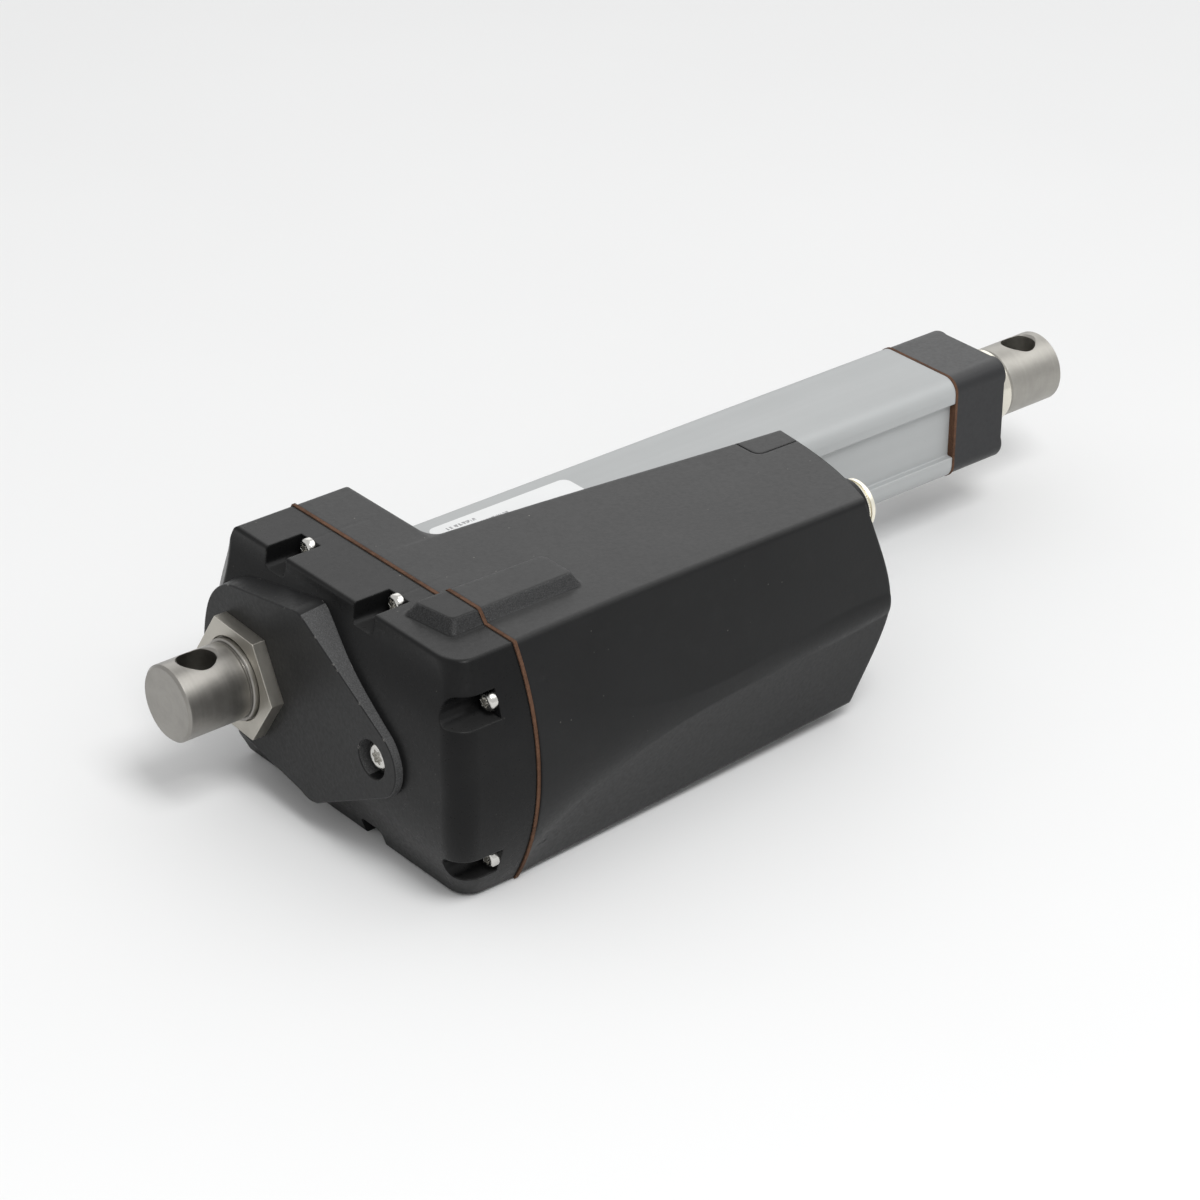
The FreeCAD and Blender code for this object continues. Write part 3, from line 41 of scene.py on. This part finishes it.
# ------------------------------------------------------------------ materials
def mat(name, color, rough, metal=0.0, spec=0.5, coat=0.0, coat_rough=0.1, ior=1.5, aniso=0.0):
    m = bpy.data.materials.new(name)
    m.use_nodes = True
    nt = m.node_tree
    b = nt.nodes["Principled BSDF"]
    b.inputs["Base Color"].default_value = (color[0], color[1], color[2], 1)
    b.inputs["Roughness"].default_value = rough
    b.inputs["Metallic"].default_value = metal
    b.inputs["Specular IOR Level"].default_value = spec
    b.inputs["Coat Weight"].default_value = coat
    b.inputs["Coat Roughness"].default_value = coat_rough
    b.inputs["IOR"].default_value = ior
    b.inputs["Anisotropic"].default_value = aniso
    return m, nt, b


def link(nt, a, ao, b, bi):
    nt.links.new(a.outputs[ao], b.inputs[bi])


def coord(nt, scale=(1, 1, 1)):
    tc = nt.nodes.new("ShaderNodeTexCoord")
    mp = nt.nodes.new("ShaderNodeMapping")
    mp.inputs["Scale"].default_value = scale
    link(nt, tc, "Object", mp, "Vector")
    return mp


def noise(nt, scale, detail=2.0, rough=0.5, vec=None, distortion=0.0):
    n = nt.nodes.new("ShaderNodeTexNoise")
    n.inputs["Scale"].default_value = scale
    n.inputs["Detail"].default_value = detail
    n.inputs["Roughness"].default_value = rough
    n.inputs["Distortion"].default_value = distortion
    if vec is None:
        vec = coord(nt)
    nt.links.new(vec.outputs[0], n.inputs["Vector"])
    return n


def ramp(nt, src, stops, out="Fac"):
    r = nt.nodes.new("ShaderNodeValToRGB")
    while len(r.color_ramp.elements) < len(stops):
        r.color_ramp.elements.new(0.5)
    for e, (p, c) in zip(r.color_ramp.elements, stops):
        e.position = p
        e.color = (c[0], c[1], c[2], 1) if hasattr(c, "__len__") else (c, c, c, 1)
    link(nt, src, out, r, "Fac")
    return r


def mathn(nt, op, a, b=None, clamp=False):
    n = nt.nodes.new("ShaderNodeMath")
    n.operation = op
    n.use_clamp = clamp
    for i, s in enumerate((a, b)):
        if s is None:
            continue
        if isinstance(s, (int, float)):
            n.inputs[i].default_value = s
        else:
            nt.links.new(s, n.inputs[i])
    return n.outputs[0]


def mixc(nt, fac, a, b, mode="MIX"):
    n = nt.nodes.new("ShaderNodeMix")
    n.data_type = "RGBA"
    n.blend_type = mode
    if isinstance(fac, (int, float)):
        n.inputs["Factor"].default_value = fac
    else:
        nt.links.new(fac, n.inputs["Factor"])
    for key, s in (("A", a), ("B", b)):
        sock = [i for i in n.inputs if i.name == key and i.type == "RGBA"][0]
        if hasattr(s, "__len__"):
            sock.default_value = (s[0], s[1], s[2], 1)
        else:
            nt.links.new(s, sock)
    return [o for o in n.outputs if o.type == "RGBA"][0]


def bump(nt, height, dist, strength=1.0, normal=None):
    n = nt.nodes.new("ShaderNodeBump")
    n.inputs["Strength"].default_value = strength
    n.inputs["Distance"].default_value = dist
    nt.links.new(height, n.inputs["Height"])
    if normal is not None:
        nt.links.new(normal, n.inputs["Normal"])
    return n.outputs[0]


def soft_edges(nt, radius):
    n = nt.nodes.new("ShaderNodeBevel")
    n.samples = 4
    n.inputs["Radius"].default_value = radius
    return n.outputs[0]


def edge_mask(nt, radius, lo=0.002, hi=0.03):
    """1 on convex and concave edges, 0 on flat ground."""
    bev = nt.nodes.new("ShaderNodeBevel")
    bev.samples = 4
    bev.inputs["Radius"].default_value = radius
    geo = nt.nodes.new("ShaderNodeNewGeometry")
    dot = nt.nodes.new("ShaderNodeVectorMath")
    dot.operation = "DOT_PRODUCT"
    nt.links.new(bev.outputs[0], dot.inputs[0])
    nt.links.new(geo.outputs["Normal"], dot.inputs[1])
    off = mathn(nt, "SUBTRACT", 1.0, dot.outputs["Value"])
    return mathn(nt, "MULTIPLY", mathn(nt, "SUBTRACT", off, lo), 1.0 / (hi - lo), clamp=True)


def specks(nt, scale, size, share):
    """Sparse round specks: scale sets their spacing, size their radius in spacings, share how many cells carry one."""
    vo = nt.nodes.new("ShaderNodeTexVoronoi")
    vo.feature = "F1"
    vo.inputs["Scale"].default_value = scale
    nt.links.new(coord(nt).outputs[0], vo.inputs["Vector"])
    dot = mathn(nt, "LESS_THAN", vo.outputs["Distance"], size)
    sep = nt.nodes.new("ShaderNodeSeparateColor")
    nt.links.new(vo.outputs["Color"], sep.inputs["Color"])
    on = mathn(nt, "LESS_THAN", sep.outputs["Red"], share)
    shade = mathn(nt, "ADD", mathn(nt, "MULTIPLY", sep.outputs["Green"], 0.7), 0.3)
    return mathn(nt, "MULTIPLY", mathn(nt, "MULTIPLY", dot, on), shade)


def powder(name, base, rough, grain=1.0, dust=0.3, edge=0.0006, spec=0.22, coarse=None, wear=0.0, peel=1.0, painted_light_lift=0.0, top_dust_and_light=0.10):
    """Powder coat: orange peel, pebbled skin, slow tone drift, dust specks, a lighter film on upward faces that is
    partly dust and partly painted light, a coarser cast skin on chosen faces with an optional painted light lift, worn
    rims.
    """
    m, nt, b = mat(name, base, rough, spec=spec)
    fine = noise(nt, 2300, 2.0, 0.55)
    mid = noise(nt, 760, 3.0, 0.55)
    orange = noise(nt, 330, 1.0, 0.4)
    slow = noise(nt, 24, 4.0, 0.6)
    geo = nt.nodes.new("ShaderNodeNewGeometry")
    sep = nt.nodes.new("ShaderNodeSeparateXYZ")
    link(nt, geo, "Normal", sep, "Vector")
    rough_in = ramp(nt, mid, [(0.3, rough - 0.05), (0.7, rough + 0.07)]).outputs["Color"]
    h = mathn(nt, "ADD", mathn(nt, "MULTIPLY", fine.outputs["Fac"], 0.55), mathn(nt, "MULTIPLY", mid.outputs["Fac"], 0.7))
    h = mathn(nt, "ADD", h, mathn(nt, "MULTIPLY", orange.outputs["Fac"], 0.9 * peel))
    if coarse is not None:
        # faces with the sparkling cast skin: chosen by where they look and how high they stand
        tc = nt.nodes.new("ShaderNodeTexCoord")
        pos = nt.nodes.new("ShaderNodeSeparateXYZ")
        link(nt, tc, "Object", pos, "Vector")
        mask = coarse(nt, sep, pos)
        sand = noise(nt, 2300, 2.0, 0.6)
        gl = ramp(nt, sand, [(0.40, 0.0), (0.66, 1.0)]).outputs["Color"]
        h = mathn(nt, "ADD", h, mathn(nt, "MULTIPLY", mathn(nt, "MULTIPLY", gl, mask), 1.5))
    nt.links.new(bump(nt, h, 0.00009 * grain, 0.85, soft_edges(nt, edge)), b.inputs["Normal"])
    tone = ramp(nt, slow, [(0.3, [c * 0.82 for c in base]), (0.55, base), (0.78, [c * 1.25 for c in base])])
    col = tone.outputs["Color"]
    if coarse is not None:
        # masked faces get a lighter cast-skin colour; painted_light_lift adds painted light on top of it
        col = mixc(nt, mathn(nt, "MULTIPLY", mask, 0.8), col, [c * 1.6 + 0.006 + painted_light_lift for c in base])
        col = mixc(nt, mathn(nt, "MULTIPLY", mathn(nt, "MULTIPLY", gl, mask), 0.5), col, [c * 3.5 + 0.03 + painted_light_lift * 1.5 for c in base])
    up = mathn(nt, "ADD", mathn(nt, "MULTIPLY", mathn(nt, "MAXIMUM", sep.outputs["Z"], 0.0), 0.75), 0.25)
    amount = mathn(nt, "MULTIPLY", mathn(nt, "MULTIPLY", specks(nt, 210, 0.055, 0.35), up), dust)
    col = mixc(nt, amount, col, (0.42, 0.40, 0.36))
    haze = ramp(nt, noise(nt, 55, 5.0, 0.65), [(0.55, 0.0), (0.85, 1.0)])
    col = mixc(nt, mathn(nt, "MULTIPLY", mathn(nt, "MULTIPLY", haze.outputs["Color"], up), dust * 0.10), col, (0.30, 0.29, 0.27))
    if wear > 0:
        spot = ramp(nt, noise(nt, 420, 4.0, 0.7), [(0.60, 0.0), (0.68, 1.0)])
        worn = mathn(nt, "MULTIPLY", mathn(nt, "MULTIPLY", edge_mask(nt, 0.0004, 0.01, 0.05), spot.outputs["Color"]), wear)
        col = mixc(nt, worn, col, (0.40, 0.39, 0.37))
    # upward faces lifted towards light grey: partly a dust film, partly painted light from above
    top_face_mask = mathn(nt, "MULTIPLY", mathn(nt, "SUBTRACT", sep.outputs["Z"], 0.80), 5.0, clamp=True)
    cloud = ramp(nt, noise(nt, 15, 4.0, 0.6), [(0.3, 0.75), (0.7, 1.0)])
    col = mixc(nt, mathn(nt, "MULTIPLY", mathn(nt, "MULTIPLY", top_face_mask, cloud.outputs["Color"]), top_dust_and_light), col, (0.40, 0.40, 0.395))
    nt.links.new(col, b.inputs["Base Color"])
    nt.links.new(rough_in, b.inputs["Roughness"])
    return m


def slanted_top(nt, nrm, pos):
    """Flanks of the raised pad on top: they look outwards and up, above the flat top face."""
    high = mathn(nt, "GREATER_THAN", pos.outputs["Z"], 0.0408)
    tilt = mathn(nt, "LESS_THAN", nrm.outputs["Z"], 0.93)
    return mathn(nt, "MULTIPLY", high, tilt)


def side_walls(nt, nrm, pos):
    """Sloping rim wall of the plate on the motor side, facing the lamps; its lighter colour is partly cast skin and
    partly painted light.
    """
    return mathn(nt, "MULTIPLY", mathn(nt, "GREATER_THAN", nrm.outputs["X"], -0.55), mathn(nt, "LESS_THAN", nrm.outputs["Y"], -0.25))


def turned(name, base, rough, ring=1.0, axis="X", yz=(0.0, 0.0), stain=0.12, knurl=0, knurl_zone=(0.0, 0.0), warm=None):
    """Lathe-turned metal: fine rings about the turning axis on ends and flanks, slight handling stain, optional knurl."""
    m, nt, b = mat(name, base, rough, metal=1.0)
    tc = nt.nodes.new("ShaderNodeTexCoord")
    sep = nt.nodes.new("ShaderNodeSeparateXYZ")
    link(nt, tc, "Object", sep, "Vector")
    along, p, q = sep.outputs["X"], sep.outputs["Y"], sep.outputs["Z"]
    p = mathn(nt, "SUBTRACT", p, yz[0])
    q = mathn(nt, "SUBTRACT", q, yz[1])
    rad = mathn(nt, "SQRT", mathn(nt, "ADD", mathn(nt, "MULTIPLY", p, p), mathn(nt, "MULTIPLY", q, q)))
    comb = nt.nodes.new("ShaderNodeCombineXYZ")
    nt.links.new(mathn(nt, "MULTIPLY", along, 5200.0), comb.inputs["X"])
    nt.links.new(mathn(nt, "MULTIPLY", rad, 5200.0), comb.inputs["Y"])
    nt.links.new(mathn(nt, "MULTIPLY", q, 14.0), comb.inputs["Z"])
    n = nt.nodes.new("ShaderNodeTexNoise")
    n.inputs["Scale"].default_value = 1.0
    n.inputs["Detail"].default_value = 3.0
    link(nt, comb, "Vector", n, "Vector")
    comb2 = nt.nodes.new("ShaderNodeCombineXYZ")
    nt.links.new(mathn(nt, "MULTIPLY", along, 900.0), comb2.inputs["X"])
    nt.links.new(mathn(nt, "MULTIPLY", rad, 900.0), comb2.inputs["Y"])
    n2 = nt.nodes.new("ShaderNodeTexNoise")
    n2.inputs["Scale"].default_value = 1.0
    n2.inputs["Detail"].default_value = 2.0
    link(nt, comb2, "Vector", n2, "Vector")
    h = mathn(nt, "ADD", mathn(nt, "MULTIPLY", n.outputs["Fac"], 0.7), mathn(nt, "MULTIPLY", n2.outputs["Fac"], 0.7))
    nrm = bump(nt, h, 0.00003 * ring, 0.8, soft_edges(nt, 0.0003))
    if knurl:
        ang = mathn(nt, "ARCTAN2", q, p)
        wave = mathn(nt, "SINE", mathn(nt, "MULTIPLY", ang, float(knurl)))
        zone = mathn(nt, "MULTIPLY", mathn(nt, "GREATER_THAN", along, knurl_zone[0]), mathn(nt, "LESS_THAN", along, knurl_zone[1]))
        nrm = bump(nt, mathn(nt, "MULTIPLY", wave, zone), 0.00022, 0.9, nrm)
    nt.links.new(nrm, b.inputs["Normal"])
    sl = noise(nt, 160, 4.0, 0.6)
    tone = ramp(nt, sl, [(0.25, [c * (1 - stain) for c in base]), (0.6, base), (0.85, [min(1, c * (1 + stain * 0.5)) for c in base])])
    col = mixc(nt, 0.35, tone.outputs["Color"], ramp(nt, n2, [(0.3, 0.78), (0.7, 1.0)]).outputs["Color"], "MULTIPLY")
    if warm is not None:
        # a worn, warmer band where the pin and the collar rub
        lo_r, hi_r, tint = warm
        band = mathn(nt, "MULTIPLY", mathn(nt, "GREATER_THAN", rad, lo_r), mathn(nt, "LESS_THAN", rad, hi_r))
        col = mixc(nt, mathn(nt, "MULTIPLY", band, 0.7), col, tint)
    nt.links.new(col, b.inputs["Base Color"])
    rr = mathn(nt, "ADD", mathn(nt, "MULTIPLY", n2.outputs["Fac"], 0.16), rough - 0.08)
    nt.links.new(rr, b.inputs["Roughness"])
    return m


def drawn(name, base, rough, along=(14, 1500, 1500), depth=0.00002, metal=1.0, edge=0.0004, tone_var=0.05, mottle=0.16, wear=0.0):
    """Drawn, extruded or brushed metal: fine lines that run one way, light mottling, brighter rubbed edges."""
    m, nt, b = mat(name, base, rough, metal=metal)
    n = noise(nt, 1.0, 4.0, 0.6, coord(nt, along))
    n2 = noise(nt, 1.0, 2.0, 0.5, coord(nt, (along[0] * 0.3, along[1] * 0.12, along[2] * 0.12)))
    grain = noise(nt, 2600, 2.0, 0.5)
    h = mathn(nt, "ADD", mathn(nt, "MULTIPLY", n.outputs["Fac"], 0.7), mathn(nt, "MULTIPLY", grain.outputs["Fac"], 0.5))
    nt.links.new(bump(nt, h, depth, 0.8, soft_edges(nt, edge)), b.inputs["Normal"])
    tone = ramp(nt, n2, [(0.3, [c * (1 - tone_var) for c in base]), (0.7, [min(1, c * (1 + tone_var)) for c in base])])
    sl = noise(nt, 30, 4.0, 0.6)
    col = mixc(nt, 0.3, tone.outputs["Color"], ramp(nt, sl, [(0.3, 1.0 - mottle), (0.65, 1.0)]).outputs["Color"], "MULTIPLY")
    if wear > 0:
        col = mixc(nt, mathn(nt, "MULTIPLY", edge_mask(nt, 0.0004, 0.004, 0.04), wear), col, [min(1, c * 1.8) for c in base])
    nt.links.new(col, b.inputs["Base Color"])
    nt.links.new(mathn(nt, "ADD", mathn(nt, "MULTIPLY", n.outputs["Fac"], 0.12), rough - 0.06), b.inputs["Roughness"])
    return m


def anodised(name, base, rough, metal, edge=0.0004):
    """Matte anodised extrusion: very faint die lines along the length, tiny pits, a few handling marks."""
    m, nt, b = mat(name, base, rough, metal=metal, spec=0.5)
    lines = noise(nt, 1.0, 3.0, 0.6, coord(nt, (5, 900, 900)))
    broad = noise(nt, 1.0, 2.0, 0.5, coord(nt, (2.5, 130, 130)))
    grain = noise(nt, 3000, 2.0, 0.5)
    h = mathn(nt, "ADD", mathn(nt, "MULTIPLY", lines.outputs["Fac"], 0.5), mathn(nt, "MULTIPLY", grain.outputs["Fac"], 0.5))
    nt.links.new(bump(nt, h, 0.000012, 0.8, soft_edges(nt, edge)), b.inputs["Normal"])
    tone = ramp(nt, broad, [(0.3, [c * 0.965 for c in base]), (0.7, [min(1, c * 1.03) for c in base])])
    cloud = ramp(nt, noise(nt, 26, 4.0, 0.6), [(0.3, 0.93), (0.65, 1.0)])
    col = mixc(nt, 0.6, tone.outputs["Color"], cloud.outputs["Color"], "MULTIPLY")
    marks = ramp(nt, noise(nt, 1.0, 3.0, 0.6, coord(nt, (60, 620, 620))), [(0.70, 0.0), (0.76, 1.0)])
    rub = ramp(nt, noise(nt, 9, 2.0, 0.5), [(0.5, 0.0), (0.7, 1.0)])
    col = mixc(nt, mathn(nt, "MULTIPLY", mathn(nt, "MULTIPLY", marks.outputs["Color"], rub.outputs["Color"]), 0.16), col, [c * 0.62 for c in base])
    col = mixc(nt, mathn(nt, "MULTIPLY", specks(nt, 170, 0.04, 0.25), 0.5), col, [c * 0.5 for c in base])
    nt.links.new(col, b.inputs["Base Color"])
    nt.links.new(mathn(nt, "ADD", mathn(nt, "MULTIPLY", grain.outputs["Fac"], 0.08), rough - 0.04), b.inputs["Roughness"])
    return m


def polymer(name, base, rough, spec=0.45, grain=0.5, metal=0.0, var=0.15, fibre=0.0):
    m, nt, b = mat(name, base, rough, metal=metal, spec=spec)
    n = noise(nt, 1400, 3.0, 0.55)
    sl = noise(nt, 90, 4.0, 0.6)
    h = n.outputs["Fac"]
    if fibre > 0:
        h = mathn(nt, "ADD", h, mathn(nt, "MULTIPLY", noise(nt, 420, 4.0, 0.7).outputs["Fac"], fibre))
    nt.links.new(bump(nt, h, 0.00006 * grain, 0.8, soft_edges(nt, 0.0003)), b.inputs["Normal"])
    tone = ramp(nt, sl, [(0.3, [c * (1 - var) for c in base]), (0.7, [min(1, c * (1 + var)) for c in base])])
    col = tone.outputs["Color"]
    if fibre > 0:
        fleck = ramp(nt, noise(nt, 900, 3.0, 0.7), [(0.45, 0.0), (0.7, 1.0)])
        col = mixc(nt, mathn(nt, "MULTIPLY", fleck.outputs["Color"], 0.5), col, [min(1, c * 1.9) for c in base])
    nt.links.new(col, b.inputs["Base Color"])
    nt.links.new(mathn(nt, "ADD", mathn(nt, "MULTIPLY", n.outputs["Fac"], 0.12), rough - 0.06), b.inputs["Roughness"])
    return m


def print_label(name, base, x0, x1, half):
    """White film label with rows of illegible grey print."""
    m, nt, b = mat(name, base, 0.3, spec=0.45, coat=0.15, coat_rough=0.15)
    tc = nt.nodes.new("ShaderNodeTexCoord")
    sep = nt.nodes.new("ShaderNodeSeparateXYZ")
    link(nt, tc, "Object", sep, "Vector")
    u = mathn(nt, "DIVIDE", mathn(nt, "SUBTRACT", sep.outputs["X"], x0), x1 - x0)
    w = mathn(nt, "DIVIDE", mathn(nt, "ADD", sep.outputs["Y"], half), 2 * half)

    def band(src, a0, a1):
        return mathn(nt, "MULTIPLY", mathn(nt, "GREATER_THAN", src, a0), mathn(nt, "LESS_THAN", src, a1))
    rows = None
    for (w0, w1, u0, u1) in ((0.12, 0.17, 0.12, 0.62), (0.22, 0.27, 0.12, 0.74), (0.32, 0.37, 0.12, 0.52), (0.55, 0.60, 0.10, 0.44), (0.66, 0.71, 0.10, 0.50), (0.78, 0.86, 0.10, 0.30)):
        r = mathn(nt, "MULTIPLY", band(w, w0, w1), band(u, u0, u1))
        rows = r if rows is None else mathn(nt, "ADD", rows, r)
    dash = ramp(nt, noise(nt, 1.0, 2.0, 0.7, coord(nt, (1500, 260, 260))), [(0.47, 0.0), (0.50, 1.0)])
    ink = mathn(nt, "MULTIPLY", rows, dash.outputs["Color"], clamp=True)
    grain = noise(nt, 1600, 2.0, 0.5)
    tone = ramp(nt, noise(nt, 60, 3.0, 0.5), [(0.3, [c * 0.96 for c in base]), (0.7, base)])
    col = mixc(nt, mathn(nt, "MULTIPLY", ink, 0.72), tone.outputs["Color"], (0.06, 0.06, 0.065))
    nt.links.new(col, b.inputs["Base Color"])
    nt.links.new(bump(nt, grain.outputs["Fac"], 0.00001, 0.6), b.inputs["Normal"])
    return m


M = {}
# top_dust_and_light (default 0.10, used by the cap) lightens upward faces: partly dust, partly painted light
M["powder_coat"] = powder("powder_coat", (0.0085, 0.0087, 0.0090), 0.34, spec=0.20, edge=0.0014, coarse=slanted_top, dust=0.30, grain=0.45, peel=0.5, top_dust_and_light=0.06)
M["gasket_brown"] = polymer("gasket_brown", (0.090, 0.046, 0.027), 0.9, spec=0.2, grain=6.0, var=0.35, fibre=1.2)
M["turned_steel"] = turned("turned_steel", (0.315, 0.303, 0.281), 0.36)
M["nut_steel"] = drawn("nut_steel", (0.47, 0.45, 0.404), 0.42, along=(700, 500, 500), depth=0.00004, tone_var=0.12, mottle=0.25, wear=0.5)
M["screw_steel"] = drawn("screw_steel", (0.66, 0.65, 0.62), 0.22, along=(900, 900, 900), depth=0.00001, edge=0.0002)
M["tube_aluminium"] = anodised("tube_aluminium", (0.405, 0.417, 0.418), 0.50, 0.10)
M["cap_black"] = powder("cap_black", (0.017, 0.0175, 0.019), 0.42, grain=0.3, dust=0.12, edge=0.0005, spec=0.35, peel=0.3)
M["rod_steel"] = turned("rod_steel", (0.78, 0.75, 0.66), 0.18, ring=0.25, stain=0.04)
M["bush_polymer"] = polymer("bush_polymer", (0.045, 0.047, 0.045), 0.5)
M["wiper_polymer"] = polymer("wiper_polymer", (0.02, 0.02, 0.02), 0.55)
M["nut_polymer"] = polymer("nut_polymer", (0.70, 0.67, 0.58), 0.4, var=0.04)
M["spindle_steel"] = turned("spindle_steel", (0.5, 0.5, 0.49), 0.3)
M["bearing_steel"] = turned("bearing_steel", (0.6, 0.6, 0.59), 0.2)
M["gear_steel"] = drawn("gear_steel", (0.42, 0.42, 0.42), 0.35, along=(60, 900, 900))
M["gear_polymer"] = polymer("gear_polymer", (0.68, 0.64, 0.53), 0.42, var=0.04)
M["motor_steel"] = drawn("motor_steel", (0.5, 0.5, 0.5), 0.38, along=(300, 300, 300))
M["magnet_ferrite"] = polymer("magnet_ferrite", (0.045, 0.045, 0.048), 0.6, grain=1.5)
M["lamination_steel"] = drawn("lamination_steel", (0.28, 0.28, 0.29), 0.45, along=(2400, 20, 20), depth=0.00008)
M["copper"] = drawn("copper", (0.72, 0.33, 0.16), 0.3, along=(200, 2000, 2000), depth=0.00008)
M["brush_carbon"] = polymer("brush_carbon", (0.02, 0.02, 0.02), 0.7)
M["plate_polymer"] = polymer("plate_polymer", (0.03, 0.03, 0.03), 0.5)
M["board_green"] = polymer("board_green", (0.012, 0.11, 0.04), 0.35)
M["socket_nickel"] = turned("socket_nickel", (0.97, 0.93, 0.80), 0.38, ring=0.5, yz=(-0.070, 0.0245), stain=0.12, knurl=72, knurl_zone=(0.2024, 0.2039))
M["label_white"] = print_label("label_white", (0.74, 0.75, 0.75), 0.0945, 0.1515, 0.010)

# pieces that carry their own variant of the slot's material
OWN = {
    # the plate's lamp-facing sloping walls are lifted lighter: cast skin plus painted light
    "rear_plate": powder("plate_coat", (0.0100, 0.0102, 0.0105), 0.40, edge=0.0003, coarse=side_walls, dust=0.22, grain=0.7, wear=0.75, peel=0.5, painted_light_lift=0.034, top_dust_and_light=0.0),
    "rear_cover": powder("cover_coat", (0.0066, 0.0067, 0.0069), 0.31, spec=0.15, edge=0.0009, coarse=slanted_top, dust=0.30, grain=0.42, wear=0.10, peel=0.5, top_dust_and_light=0.045),
    "front_eye": turned("front_eye_steel", (0.39, 0.377, 0.347), 0.42),
}

slot_of = {s["node"]: s["material_slot"] for s in frame["record"]["subparts"]}
for name, o in nodes.items():
    m = OWN.get(name) or M[slot_of[name]]
    o.data.materials.clear()
    o.data.materials.append(m)

# ------------------------------------------------------------------ camera
az, el, roll = math.radians(-39.91650), math.radians(29.41512), math.radians(0.37330)
back = Vector((math.sin(az) * math.cos(el), -math.cos(az) * math.cos(el), math.sin(el)))
right = (-back).cross(Vector((0, 0, 1))).normalized()
up = right.cross(-back)
r2 = right * math.cos(roll) + up * math.sin(roll)
u2 = up * math.cos(roll) - right * math.sin(roll)
cam_data = bpy.data.cameras.new("camera")
cam_data.sensor_width = 36.0
cam_data.lens = 112.128
cam_data.clip_end = 20.0
cam = bpy.data.objects.new("camera", cam_data)
scene.collection.objects.link(cam)
rot = Matrix((r2, u2, back)).transposed()
cam.matrix_world = Matrix.Translation(Vector((-0.529913523, -0.822512351, 0.580304562))) @ rot.to_4x4()
scene.camera = cam

# ------------------------------------------------------------------ floor and studio light
lo, hi = cad_box[0], cad_box[1]
me = bpy.data.meshes.new("floor")
bm = bmesh.new()
bmesh.ops.create_grid(bm, x_segments=1, y_segments=1, size=6.0)
bm.to_mesh(me)
bm.free()
floor = bpy.data.objects.new("floor", me)
floor.location = (0.15, -0.05, lo[2] - 0.0001)
scene.collection.objects.link(floor)
fm, fnt, fb = mat("floor_paper", (0.84, 0.84, 0.84), 0.8, spec=0.15)
fn = noise(fnt, 6.0, 3.0, 0.5)
link(fnt, ramp(fnt, fn, [(0.3, (0.835, 0.838, 0.838)), (0.7, (0.845, 0.848, 0.848))]), "Color", fb, "Base Color")
me.materials.append(fm)


def area(name, loc, target, size, power, color=(1, 1, 1), sy=None):
    d = bpy.data.lights.new(name, "AREA")
    d.shape = "RECTANGLE"
    d.size = size
    d.size_y = sy or size
    d.energy = power
    d.color = color
    o = bpy.data.objects.new(name, d)
    o.location = loc
    o.rotation_euler = (Vector(target) - Vector(loc)).to_track_quat("-Z", "Y").to_euler()
    scene.collection.objects.link(o)
    return o


area("key_front", (-0.15, -1.15, 1.85), (0.15, -0.03, 0.0), 0.8, 24)
fill_right = area("fill_right", (1.25, -0.60, 1.75), (0.15, -0.03, 0.0), 1.8, 14)
back_card = area("back_card", (1.45, 1.50, 1.15), (0.15, -0.03, 0.05), 2.4, 9.0, sy=1.6)
for o in (fill_right, back_card):
    o.visible_diffuse = False
w = bpy.data.worlds.new("studio")
scene.world = w
w.use_nodes = True
bg = w.node_tree.nodes["Background"]
bg.inputs["Color"].default_value = (1.0, 1.0, 1.0, 1)
bg.inputs["Strength"].default_value = 0.74
scene.view_settings.view_transform = "Standard"
scene.view_settings.look = "None"
